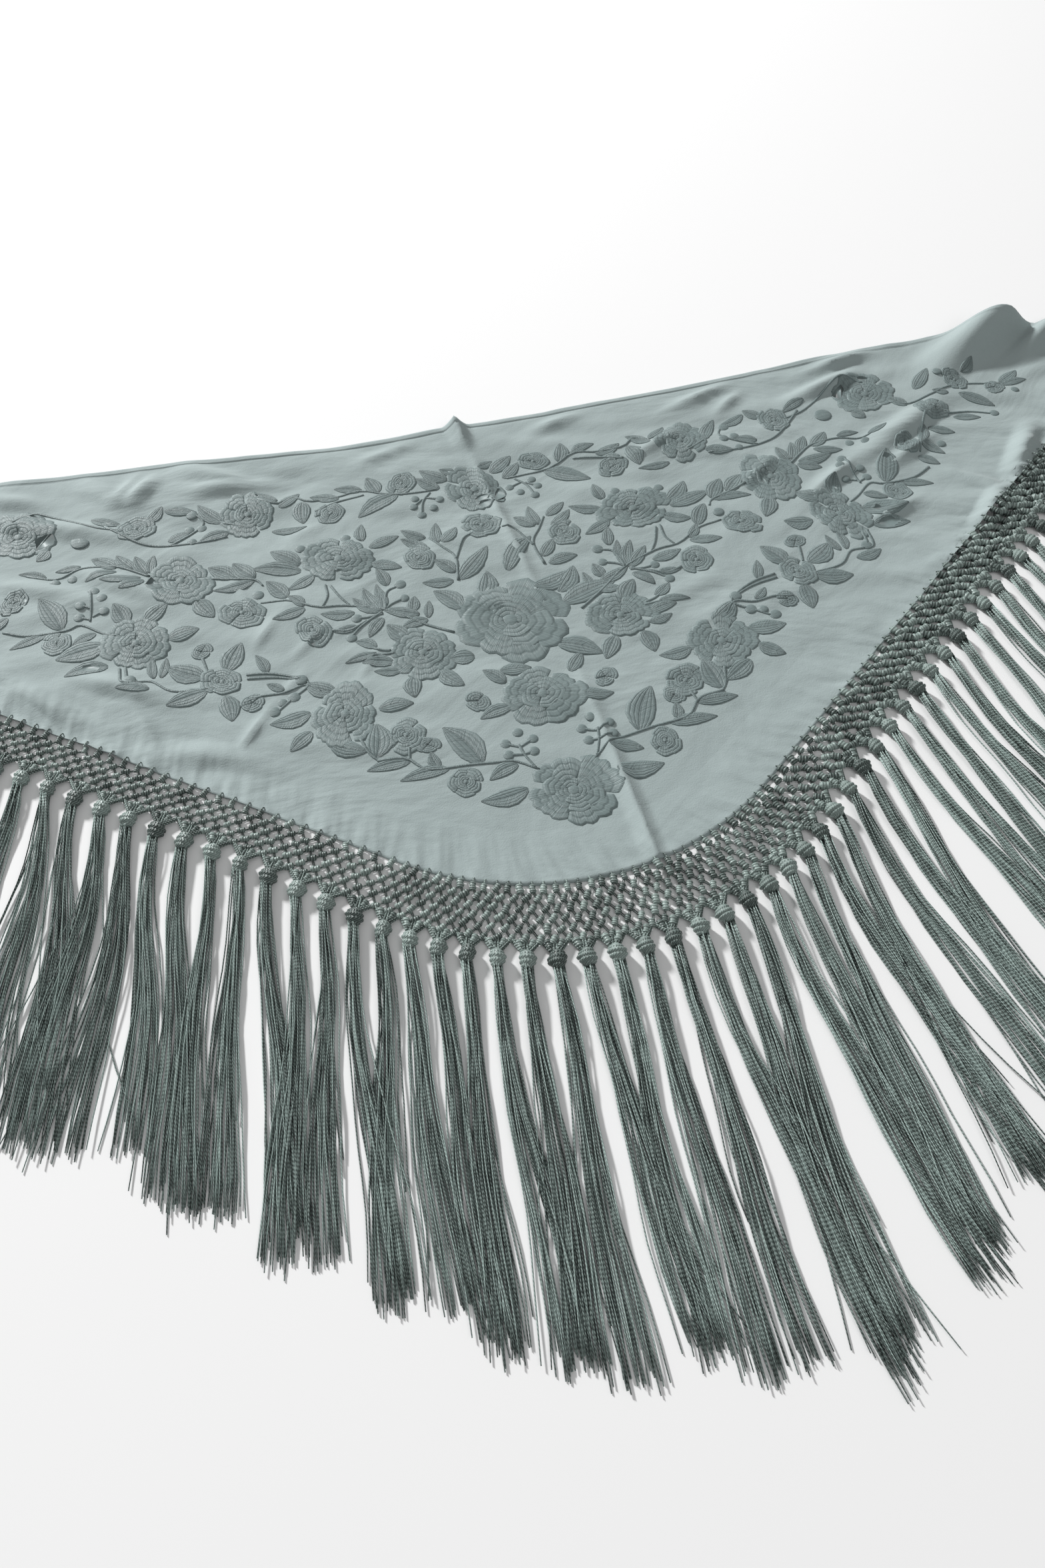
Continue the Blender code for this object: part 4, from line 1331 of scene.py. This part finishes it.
    def berry_surface(self) -> Surface:
        """Small stitched domes: rings that shrink as a cosine while they rise as a sine."""
        spots = []
        for x, y, radius in self.motifs.berries:
            spots.append((x, y, radius, 0.0))
            spots.append((-x, y, radius, 0.0))
        for x, y, radius, _, rings, _ in self.mirrored(self.motifs.blooms, (0,)):
            if rings > 1:
                spots.append((x, y, 0.15 * radius, (rings - 1.6) * self.layer_step / MM))
        table = np.array(spots) * MM
        rise = np.linspace(0.0, 0.5 * np.pi, 6)[:-1]
        angle = np.linspace(0.0, 2.0 * np.pi, 15)
        ring = turned(angle[:-1])
        reach = table[:, 2, None] * np.cos(rise)[None]
        plan = table[:, None, None, :2] + reach[:, :, None, None] * ring[None, None]
        cloth = (self.drape.top(table[:, :2]) + table[:, 3])[:, None, None]
        height = cloth - self.sink + (self.sink + 0.0011) * np.sin(rise)[None, :, None]
        points = self.cut.placed(plan, np.broadcast_to(height, plan.shape[:-1]))
        across = table[:, 2, None, None] * np.sin(angle)[None, None] * np.cos(rise)[None, :, None] / MM
        uv = np.stack([across, np.broadcast_to(0.4 + 0.0 * across, across.shape)], axis=-1)
        dome = Surface.grids(points, uv, closed=True)
        tip = self.cut.placed(table[:, :2], cloth[:, 0, 0] + 0.0011)
        foot = self.cut.placed(table[:, :2], cloth[:, 0, 0] - self.sink)
        first = len(dome.vertices)
        count = len(rise)
        upper, upper_uv = Surface.cap(points[:, -1], uv[:, -1], tip, first, count - 1, count, False)
        lower, lower_uv = Surface.cap(points[:, 0], uv[:, 0], foot, first + len(table), 0, count, True)
        return Surface(
            np.concatenate([dome.vertices, tip, foot]),
            dome.quads,
            dome.quad_uv,
            np.concatenate([upper, lower]),
            np.concatenate([upper_uv, lower_uv]),
        )

    def stem_surface(self) -> Surface:
        """Stems as flattened tubes along smooth lines through each stem's points."""
        lines = []
        for stem in self.motifs.stems:
            points = np.array(stem, dtype=float) * MM
            lines.append(points)
            lines.append(points * np.array([-1.0, 1.0]))
        plan = np.stack([smooth_line(line, 21) for line in lines])
        height = self.drape.top(plan) + 0.00012
        share = np.linspace(0.0, 1.0, plan.shape[1])
        radius = 0.00125 * (1.0 - 0.30 * share)[None] * np.ones((len(plan), 1))
        tube = Surface.tubes(self.cut.placed(plan, height), radius, 6, 0.75)
        tube.quad_uv = np.stack([tube.quad_uv[..., 1] / MM, 0.3 + 0.2 * (tube.quad_uv[..., 0] % 1.0)], axis=-1)
        tube.tri_uv = np.stack([tube.tri_uv[..., 1] / MM, 0.3 + 0.0 * tube.tri_uv[..., 0]], axis=-1)
        return tube

    def stems(self) -> bpy.types.Object:
        """Stems and berries as one piece."""
        return Surface.join([self.stem_surface(), self.berry_surface()]).build("stitched_stems", self.material)


def smooth_line(points: Array, count: int) -> Array:
    """Points along a smooth curve through given ones.

    Each stretch is a Catmull-Rom cubic, whose slope at a point is half the way
    between its neighbours.

    Args:
        points: Shape (given, dimensions).
        count: Number of points wanted.

    Returns:
        Shape (count, dimensions).
    """
    padded = np.concatenate([2.0 * points[:1] - points[1:2], points, 2.0 * points[-1:] - points[-2:-1]])
    place = np.linspace(0.0, len(points) - 1.0, count)
    whole = np.minimum(place.astype(int), len(points) - 2)
    t = (place - whole)[:, None]
    a, b, c, d = (padded[whole + k] for k in range(4))
    return 0.5 * (
        2.0 * b + (c - a) * t + (2.0 * a - 5.0 * b + 4.0 * c - d) * t ** 2
        + (3.0 * b - a - 3.0 * c + d) * t ** 3
    )


@dataclass
class Net:
    """The knotted net: rows of small knots joined by pairs of fine cords."""

    cut: Cut
    drape: Drape
    material: bpy.types.Material
    loops_per_tassel: int = 2
    rows: int = 6
    knot_long: float = 0.0034
    knot_wide: float = 0.0028
    knot_tall: float = 0.0023
    cord_radius: float = 0.00036
    pair_gap: float = 0.00100
    jitter: float = 0.0006
    slants: tuple = ((0.0, 24.0), (0.38, 32.0), (0.50, 64.0), (0.56, 80.0), (0.62, 128.0), (1.0, 134.0))
    seed: int = 31

    def lattice(self) -> tuple[Array, Array, Array]:
        """Plan places of the knots, their directions along the hem, and which exist.

        Row after row stands further out, and odd rows stand half a loop along.

        Returns:
            Points and directions of shape (rows, loops, 2).
        """
        loops = self.cut.tassels * self.loops_per_tassel
        bounds = self.cut.shares(2 * loops)
        draw = np.random.default_rng(self.seed)
        table = np.array(self.slants)
        points = []
        ways = []
        for row in range(self.rows):
            run = bounds[0:-1:2] if row % 2 else bounds[1::2]
            share = (row + 0.34) / (self.rows - 0.45)
            out = 0.0012 + share * self.cut.net_width(run)
            spot, _, tangent = self.cut.hem_at(run, out)
            spot = spot + draw.uniform(-1.0, 1.0, spot.shape) * self.jitter
            slant = np.interp(run / self.cut.hem_length, table[:, 0], table[:, 1])
            zigzag = smooth((run / self.cut.hem_length - 0.56) / 0.06)
            slant = slant + draw.normal(0.0, 9.0, len(run)) + (26.0 if row % 2 else -14.0) * zigzag
            if row == 0:
                slant = 90.0 + draw.normal(0.0, 12.0, len(run))
            angle = np.arctan2(tangent[:, 1], tangent[:, 0]) + np.radians(slant)
            points.append(spot)
            ways.append(turned(angle))
        return np.array(points), np.array(ways), bounds

    def height(self, plan: Array) -> Array:
        """Height of the folds under the net."""
        return self.drape.lift(plan)

    def knots(self, points: Array, ways: Array) -> Surface:
        """Small wrapped knots: long beads with a waist, wound round by cord.

        The radius along a knot is a power of the sine, less a bell at the middle
        that makes two lobes, times one plus a small ridge that winds round it.

        Args:
            points: Plan places.
            ways: Plan directions of their long axes.

        Returns:
            The knots.
        """
        draw = np.random.default_rng(self.seed + 1)
        count = len(points)
        size = draw.uniform(0.88, 1.12, count) * np.interp(points[:, 0], (-0.3, 0.1, 0.35), (0.90, 1.04, 1.32))
        side = np.stack([-ways[:, 1], ways[:, 0]], axis=-1)
        way = ways
        rings = 9
        fall = np.linspace(0.16, np.pi - 0.16, rings)
        round_angle = np.linspace(0.0, 2.0 * np.pi, 8)
        waist = np.sin(fall) ** 0.62 * (1.0 - 0.36 * np.exp(-((fall - 0.5 * np.pi) / 0.28) ** 2))
        ridge = 1.0 + 0.07 * np.sin(2.0 * round_angle[None, :] + 5.0 * fall[:, None])
        long = -np.cos(fall)[:, None] * np.ones_like(ridge) * self.knot_long
        wide = waist[:, None] * np.cos(round_angle)[None] * ridge * self.knot_wide
        tall = waist[:, None] * np.sin(round_angle)[None] * ridge * self.knot_tall
        long, wide, tall = (v[None, :, :-1] * size[:, None, None] for v in (long, wide, tall))
        plan = points[:, None, None] + long[..., None] * way[:, None, None]
        plan = plan + wide[..., None] * side[:, None, None]
        rest = (self.height(points) + self.knot_tall * 1.10 * size)[:, None, None]
        solid = self.cut.placed(plan, rest + tall)
        uv_shape = (count, rings, len(round_angle))
        uv_round = np.broadcast_to(round_angle / (2.0 * np.pi) * 0.98 + 0.01, uv_shape)
        uv_round = uv_round + np.arange(count)[:, None, None]
        uv_long = np.broadcast_to((fall * self.knot_long)[None, :, None], uv_shape)
        uv = np.stack([uv_round, uv_long], axis=-1)
        body = Surface.grids(solid, uv, closed=True)
        ends = self.cut.placed(points, rest[:, 0, 0])
        reach = (self.knot_long * size)[:, None] * way
        first = ends - np.concatenate([reach, np.zeros((count, 1))], axis=1)
        last = ends + np.concatenate([reach, np.zeros((count, 1))], axis=1)
        base = len(body.vertices)
        near, near_uv = Surface.cap(solid[:, 0], uv[:, 0], first, base, 0, rings, True)
        far, far_uv = Surface.cap(solid[:, -1], uv[:, -1], last, base + count, rings - 1, rings, False)
        return Surface(
            np.concatenate([body.vertices, first, last]),
            body.quads,
            body.quad_uv,
            np.concatenate([near, far]),
            np.concatenate([near_uv, far_uv]),
        )

    def cords(self, start: Array, end: Array) -> Surface:
        """Pairs of fine cords between places, each with a slight bow.

        Args:
            start: Plan places they leave.
            end: Plan places they reach.

        Returns:
            The cords as tubes.
        """
        share = np.linspace(0.0, 1.0, 4)
        way = end - start
        length = np.linalg.norm(way, axis=1, keepdims=True)
        side = np.stack([-way[:, 1], way[:, 0]], axis=-1) / np.maximum(length, 1e-9)
        paths = []
        for sign in (-0.5, 0.5):
            bow = np.sin(np.pi * share)[None, :, None] * 0.35 + 0.65
            plan = start[:, None] + share[None, :, None] * way[:, None]
            plan = plan + sign * self.pair_gap * bow * side[:, None]
            height = self.height(plan) + 0.0010 + 0.0004 * (sign > 0) - 0.0003 * np.sin(np.pi * share)
            paths.append(self.cut.placed(plan, height))
        paths = np.concatenate(paths)
        radius = np.full(paths.shape[:2], self.cord_radius)
        return Surface.tubes(paths, radius, 3)

    def edge_loops(self, knots: Array, run: Array) -> Surface:
        """Loops of cord that pass from the first knots over the cloth's edge."""
        hem, normal, _ = self.cut.hem_at(run, 0.0)
        share = np.linspace(0.0, 1.0, 6)[None, :, None]
        inner = hem - 0.0034 * normal
        plan = knots[:, None] + (inner - knots)[:, None] * share
        level = self.drape.top(inner)[:, None] * np.ones(plan.shape[:2])
        height = np.maximum(level + 0.0002, 0.0016) + 0.0011 * np.sin(np.pi * share[..., 0]) ** 0.5
        height = height - 0.0009 * smooth((share[..., 0] - 0.8) / 0.2)
        radius = 0.00080 * (1.0 - 0.45 * share[..., 0]) * np.ones(plan.shape[:2])
        return Surface.tubes(self.cut.placed(plan, height), radius, 6, 0.8)

    def build(self) -> list[bpy.types.Object]:
        """Make the net in three stretches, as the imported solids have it."""
        points, ways, bounds = self.lattice()
        loops = points.shape[1]
        cuts = (0, 3 * loops // 8, 5 * loops // 8, loops)
        names = ("net_left", "net_point", "net_right")
        pieces = []
        for name, first, last in zip(names, cuts[:-1], cuts[1:]):
            spots = points[:, first:last].reshape(-1, 2)
            directions = ways[:, first:last].reshape(-1, 2)
            parts = [self.knots(spots, directions)]
            for row in range(self.rows - 1):
                here = points[row, first:last]
                shift = 1 if row % 2 == 0 else -1
                beside = np.clip(np.arange(first, last) + shift, 0, loops - 1)
                parts.append(self.cords(here, points[row + 1, first:last]))
                other = points[row + 1, beside]
                near = np.linalg.norm(other - here, axis=1) < 0.02
                parts.append(self.cords(here[near], other[near]))
            parts.append(self.edge_loops(points[0, first:last], bounds[1::2][first:last]))
            piece = Surface.join(parts).build(f"knotted_{name}", self.material)
            pieces.append((piece, name))
        return pieces


@dataclass
class Fringe:
    """The tassels: two legs of cord, a wrapped head and a bundle of long threads."""

    cut: Cut
    drape: Drape
    head_material: bpy.types.Material
    thread_material: bpy.types.Material
    per_strip: int = 7
    threads: int = 36
    steps: int = 13
    thread_radius: float = 0.00052
    bundle_radius: float = 0.0038
    tip_spread: float = 0.0074
    head_half: float = 0.0056
    gather: float = 4.2
    seed: int = 41
    course: tuple = (
        (-0.75, -26.0, -30.0, 0.215),
        (-0.35, -11.0, -17.0, 0.222),
        (-0.25, -9.0, -8.0, 0.222),
        (-0.13, -7.0, -5.0, 0.215),
        (-0.03, -5.0, -3.0, 0.236),
        (0.04, -4.0, 5.0, 0.252),
        (0.12, -3.0, 9.0, 0.258),
        (0.20, 3.0, 18.0, 0.248),
        (0.27, 4.0, 24.0, 0.236),
        (0.45, 11.0, 27.0, 0.230),
        (0.75, 26.0, 32.0, 0.215),
    )

    def roots(self) -> dict[str, Array]:
        """Where each tassel hangs and how it runs.

        Returns:
            Arrays by name: the place below the net, the direction of the neck, the
            middle and the end of the head, and lean and length of the strands.
        """
        centres = self.cut.shares(2 * self.cut.tassels)[1::2]
        spot, normal, tangent = self.cut.hem_at(centres, self.cut.net_width(centres) + self.cut.strip)
        table = np.array(self.course)
        lean_root, lean_tip, length = (np.interp(spot[:, 0], table[:, 0], table[:, k]) for k in (1, 2, 3))
        out = heading(lean_root)
        way = normal + out
        way = way / np.linalg.norm(way, axis=1, keepdims=True)
        return {
            "spot": spot,
            "tangent": tangent,
            "way": way,
            "head": spot + way * (self.cut.neck + 0.45 * self.cut.head),
            "end": spot + way * (self.cut.neck + self.cut.head),
            "lean_root": lean_root,
            "lean_tip": lean_tip,
            "length": length,
            "out": out,
        }

    def heads(self, roots: dict[str, Array], which: slice) -> Surface:
        """Wrapped heads: a spindle with four wound ridges and a crossing wrap.

        The radius along the head is a sine arch, times one plus a ridge that winds
        round as the head goes down.

        Args:
            roots: What roots() returns.
            which: The tassels wanted.

        Returns:
            The heads, closed at both ends.
        """
        middle = roots["head"][which]
        way = roots["way"][which]
        count = len(middle)
        draw = np.random.default_rng(self.seed + which.start)
        side = np.stack([-way[:, 1], way[:, 0]], axis=-1)
        rows = 25
        share = np.linspace(0.0, 1.0, rows)
        round_angle = np.linspace(0.0, 2.0 * np.pi, 19)
        arch = 0.30 + 0.70 * np.sin(np.pi * np.clip(share, 0.02, 0.98)) ** 0.55
        turn = draw.uniform(0.0, 2.0 * np.pi, count)[:, None, None]
        slant = draw.uniform(0.45, 0.95, count)[:, None, None]
        wind = 2.0 * np.pi * 3.6 * share[None, :, None] + slant * np.sin(round_angle[None, None] + turn) * 2.2
        ridge = 1.0 + 0.26 * np.abs(np.sin(0.5 * wind)) ** 0.7 - 0.16
        lump = 1.0 + 0.10 * np.sin(round_angle[None, None] + turn + 2.0 * np.pi * share[None, :, None])
        size = draw.uniform(0.90, 1.08, count)[:, None, None]
        radius = self.head_half * arch[None, :, None] * ridge * lump * size
        length = self.cut.head * 1.18
        along = (share[None, :, None] - 0.5) * length * np.ones_like(radius)
        across = radius * np.cos(round_angle)
        tall = radius * 0.78 * np.sin(round_angle)
        plan = middle[:, None, None] + along[..., None] * way[:, None, None] + across[..., None] * side[:, None, None]
        rest = 0.78 * self.head_half * 0.98
        height = np.maximum(rest + tall, 0.0002)
        points = self.cut.placed(plan, height)[:, :, :-1]
        around = np.broadcast_to(along / self.cut.head * 2.0 + 0.5, radius.shape)
        number = np.arange(count)[:, None, None] + 0.0 * around
        uv = np.stack([number + np.clip(around * 0.2 + 0.4, 0.02, 0.98), radius * round_angle], axis=-1)
        body = Surface.grids(points, uv, closed=True)
        first = self.cut.placed(middle - 0.52 * length * way, np.full(count, rest))
        last = self.cut.placed(middle + 0.52 * length * way, np.full(count, rest))
        base = len(body.vertices)
        near, near_uv = Surface.cap(points[:, 0], uv[:, 0], first, base, 0, rows, True)
        far, far_uv = Surface.cap(points[:, -1], uv[:, -1], last, base + count, rows - 1, rows, False)
        return Surface(
            np.concatenate([body.vertices, first, last]),
            body.quads,
            body.quad_uv,
            np.concatenate([near, far]),
            np.concatenate([near_uv, far_uv]),
        )

    def legs(self, roots: dict[str, Array], which: slice, net: Net) -> Surface:
        """Strands that run together from the net's last knots into the heads."""
        points, _, _ = net.lattice()
        last = points[-1]
        spot = roots["spot"][which]
        head = roots["head"][which]
        numbers = np.arange(len(roots["spot"]))[which]
        share = np.linspace(0.0, 1.0, 5)
        paths = []
        for leg in (0, 1, 2):
            knot = last[np.clip(2 * numbers + leg, 0, len(last) - 1)]
            bottom = spot + 0.55 * (head - spot)
            for strand in range(6):
                offset = (strand - 2.5) * 0.00080
                start = knot + 0.5 * offset * roots["tangent"][which]
                goal = bottom + 1.0 * offset * roots["tangent"][which]
                goal = goal + (leg - 1.0) * 0.0012 * roots["tangent"][which]
                blend = smooth(share)[None, :, None]
                plan = start[:, None] + (goal - start)[:, None] * (0.55 * share[None, :, None] + 0.45 * blend)
                height = 0.0015 + 0.0014 * share + 0.0006 * ((strand + leg) % 3)
                paths.append(self.cut.placed(plan, np.broadcast_to(height, plan.shape[:2])))
        paths = np.concatenate(paths)
        keep = np.linalg.norm(paths[:, 0, :2] - paths[:, -1, :2], axis=1) < 0.022
        paths = paths[keep]
        radius = np.full(paths.shape[:2], 0.00062)
        return Surface.tubes(paths, radius, 4)

    def leg_knots(self, roots: dict[str, Array], which: slice, net: Net) -> Surface:
        """Two knots above each head, one on either leg, that point towards it."""
        spots = []
        ways = []
        for side in (-1.0, 1.0):
            spot = roots["spot"][which] + side * 0.0040 * roots["tangent"][which] + 0.0004 * roots["way"][which]
            way = roots["head"][which] - spot
            spots.append(spot)
            ways.append(way / np.linalg.norm(way, axis=1, keepdims=True))
        return net.knots(np.concatenate(spots), np.concatenate(ways))

    def strands(self, roots: dict[str, Array], which: slice) -> Surface:
        """Threads of the tassels.

        Each thread follows its tassel's middle line, whose lean turns evenly from
        root to tip, plus an offset across it that grows towards the tip and a slow
        wave of its own.  Its height starts in the round bundle and settles on the
        surface.

        Args:
            roots: What roots() returns.
            which: The tassels wanted.

        Returns:
            The threads as tubes.
        """
        draw = np.random.default_rng(self.seed + 100 + which.start)
        end = roots["end"][which]
        count = len(end)
        shape = (count, self.threads)
        share = np.linspace(0.0, 1.0, self.steps)
        lean_root = roots["lean_root"][which][:, None, None]
        lean_tip = roots["lean_tip"][which][:, None, None]
        far_left = smooth((-0.22 - roots["spot"][which][:, 0]) / 0.12)[:, None]
        far_left = far_left * smooth((roots["spot"][which][:, 0] + 0.48) / 0.06)[:, None]
        own = draw.uniform(-1.7, 1.7, shape) * 0.8 + draw.normal(0.0, 0.35, shape)
        turn = draw.uniform(0.0, 2.0 * np.pi, shape)
        inner = np.sqrt(draw.random(shape)) * self.bundle_radius
        across_root = inner * np.cos(turn)
        lift_root = inner * np.sin(turn)
        across_tip = own * self.tip_spread * (1.0 + 0.5 * far_left)
        own_length = 1.0 + 0.024 * draw.normal(0.0, 1.0, count)[:, None]
        length = roots["length"][which][:, None] * own_length * (1.0 + 0.018 * draw.normal(0.0, 1.0, shape))
        length = length * np.where(draw.random(shape) < 0.10, draw.uniform(0.72, 0.95, shape), 1.0)
        stray = (draw.random(shape) < 0.05 + 0.12 * far_left) * draw.normal(0.0, 7.0, shape)
        bend = draw.normal(0.0, 1.9, count)[:, None] + draw.normal(0.0, 0.9, shape) + stray
        middle = 0.5 * (share[1:] + share[:-1])
        number = np.arange(which.start, which.stop)
        pull = self.gather * np.sin(2.05 * number + 1.3 * np.sin(0.37 * number))[:, None, None]
        lean = lean_root + (lean_tip - lean_root) * middle + bend[..., None] * middle
        lean = lean + pull * smooth(2.0 * middle)
        wave_turn = draw.uniform(0.0, 2.0 * np.pi, shape)[..., None]
        group_turn = draw.uniform(0.0, 2.0 * np.pi, count)[:, None, None]
        lean = lean + 2.6 * np.sin(2.0 * np.pi * 1.15 * middle + group_turn) * (1.0 + far_left[..., None])
        lean = lean + 2.2 * np.sin(2.0 * np.pi * (1.5 + 0.8 * np.abs(own[..., None])) * middle + wave_turn)
        step = heading(lean) * (length[..., None] / (self.steps - 1))[..., None]
        line = np.concatenate([np.zeros(shape + (1, 2)), np.cumsum(step, axis=2)], axis=2)
        way = roots["out"][which]
        side = np.stack([-way[:, 1], way[:, 0]], axis=-1)[:, None, None]
        opening = 0.40 * smooth(share) + 0.60 * share ** 0.65
        off = across_root[..., None] * (1.0 - opening) + across_tip[..., None] * opening
        plan = end[:, None, None] - 0.003 * way[:, None, None] + line + off[..., None] * side
        pile = 0.0010 + 0.0034 * draw.random(shape) ** 1.5
        start_height = 0.0036 + lift_root * 0.85
        settle = smooth(share / 0.35)
        crown = pile[..., None] * (1.0 - 0.55 * share) + 0.0006 * np.sin(2.0 * np.pi * 2.0 * share + wave_turn)
        height = start_height[..., None] * (1.0 - settle) + crown * settle
        height = np.maximum(height, self.thread_radius + 0.0001)
        paths = self.cut.placed(plan, height).reshape(-1, self.steps, 3)
        radius = self.thread_radius * (1.0 - 0.25 * smooth((share - 0.9) / 0.1))
        radius = np.broadcast_to(radius, paths.shape[:2])
        return Surface.tubes(paths, radius, 3)

    def build(self, net: Net) -> list[tuple]:
        """Make the tassels, one piece of threads and one of heads for each strip."""
        roots = self.roots()
        pieces = []
        for number in range(self.cut.tassels // self.per_strip):
            which = slice(number * self.per_strip, (number + 1) * self.per_strip)
            node = f"fringe_{number + 1:02d}"
            parts = [self.heads(roots, which), self.legs(roots, which, net), self.leg_knots(roots, which, net)]
            heads = Surface.join(parts)
            head_piece = heads.build(f"tassel_heads_{number + 1:02d}", self.head_material)
            threads = self.strands(roots, which)
            thread_piece = threads.build(f"tassel_threads_{number + 1:02d}", self.thread_material)
            pieces.append((head_piece, thread_piece, node))
        return pieces


def heading(lean: Array) -> Array:
    """Plan directions of leans in degrees from -Y towards +X."""
    angle = np.radians(lean)
    return np.stack([np.sin(angle), -np.cos(angle)], axis=-1)


@dataclass
class Studio:
    """Floor, soft lights and the camera at the photograph's angle."""

    camera_place: tuple = (-0.149, -0.451, 0.658)
    camera_turn: float = 14.39
    camera_pitch: float = 55.0
    lens: float = 26.77
    sensor: float = 36.0
    floor_size: float = 12.0
    world_light: float = 0.33

    def floor(self) -> bpy.types.Object:
        """Lay the pale floor."""
        half = 0.5 * self.floor_size
        mesh = bpy.data.meshes.new("studio_floor")
        mesh.from_pydata([(-half, -half, 0), (half, -half, 0), (half, half, 0), (-half, half, 0)], [], [(0, 1, 2, 3)])
        mesh.materials.append(FloorFinish().material())
        piece = bpy.data.objects.new("studio_floor", mesh)
        bpy.context.collection.objects.link(piece)
        return piece

    def light(self, name: str, place: tuple, target: tuple, size: float, power: float) -> None:
        """Add one soft area light that faces a point."""
        data = bpy.data.lights.new(name, "AREA")
        data.shape = "DISK"
        data.size = size
        data.energy = power
        lamp = bpy.data.objects.new(name, data)
        bpy.context.collection.objects.link(lamp)
        lamp.location = place
        way = np.array(target) - np.array(place)
        lamp.rotation_euler = self.aim(way)

    @staticmethod
    def aim(way: Array) -> tuple[float, float, float]:
        """Rotation that turns -Z along a direction with the horizon level."""
        flat = math.hypot(way[0], way[1])
        tilt = math.atan2(flat, -way[2])
        return tilt, 0.0, math.atan2(-way[0], way[1])

    def build(self) -> None:
        """Set up floor, world, lights and camera."""
        self.floor()
        world = bpy.data.worlds.new("studio")
        world.use_nodes = True
        background = world.node_tree.nodes["Background"]
        background.inputs["Color"].default_value = (1.0, 1.0, 1.0, 1.0)
        background.inputs["Strength"].default_value = self.world_light
        bpy.context.scene.world = world
        bpy.context.scene.view_settings.view_transform = "Standard"
        self.light("key", (-3.0, 5.1, 2.75), (0.0, 0.0, 0.0), 0.7, 560.0)
        self.light("fill", (1.2, -2.4, 3.2), (0.0, 0.0, 0.0), 2.5, 22.0)
        camera = bpy.data.cameras.new("camera")
        camera.lens = self.lens
        camera.sensor_fit = "VERTICAL"
        camera.sensor_height = self.sensor
        camera.clip_start = 0.01
        viewer = bpy.data.objects.new("camera", camera)
        bpy.context.collection.objects.link(viewer)
        viewer.location = self.camera_place
        viewer.rotation_euler = (
            math.radians(90.0 - self.camera_pitch), 0.0, -math.radians(self.camera_turn),
        )
        bpy.context.scene.camera = viewer


def main() -> None:
    """Build and dress the shawl, then the studio around it."""
    logging.basicConfig(level=logging.INFO, format="%(message)s")
    cut = Cut()
    drape = Drape(cut)
    Studio().build()
    crepe = CrepeFinish().material()
    stitch = StitchFinish().material()
    cord = CordFinish(
        "net_cord", (0.360, 0.450, 0.420, 1.0), (0.030, 0.045, 0.041, 1.0), 520.0, 0.00035, 0.42,
    ).material()
    thread = CordFinish(
        "fringe_thread", (0.465, 0.588, 0.552, 1.0), (0.020, 0.032, 0.028, 1.0), 420.0, 0.00020, 0.40,
    ).material()

    cloth = Cloth(cut, drape, crepe).build()
    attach(cloth, "root")
    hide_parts("shawl_cloth")
    LOG.info("cloth built")

    work = Embroidery(cut, drape, Motifs(), stitch)
    for piece in (work.blooms(), work.leaves(), work.stems()):
        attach(piece, "root")
        LOG.info("%s: %d faces", piece.name, len(piece.data.polygons))

    net = Net(cut, drape, cord)
    for piece, node in net.build():
        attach(piece, "root")
        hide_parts(node)
        LOG.info("%s: %d faces", piece.name, len(piece.data.polygons))

    fringe = Fringe(cut, drape, cord, thread)
    for heads, threads, node in fringe.build(net):
        for piece in (heads, threads):
            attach(piece, "root")
            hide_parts(node)
        LOG.info("%s: %d faces", threads.name, len(threads.data.polygons))


if __name__ == "__main__":
    main()
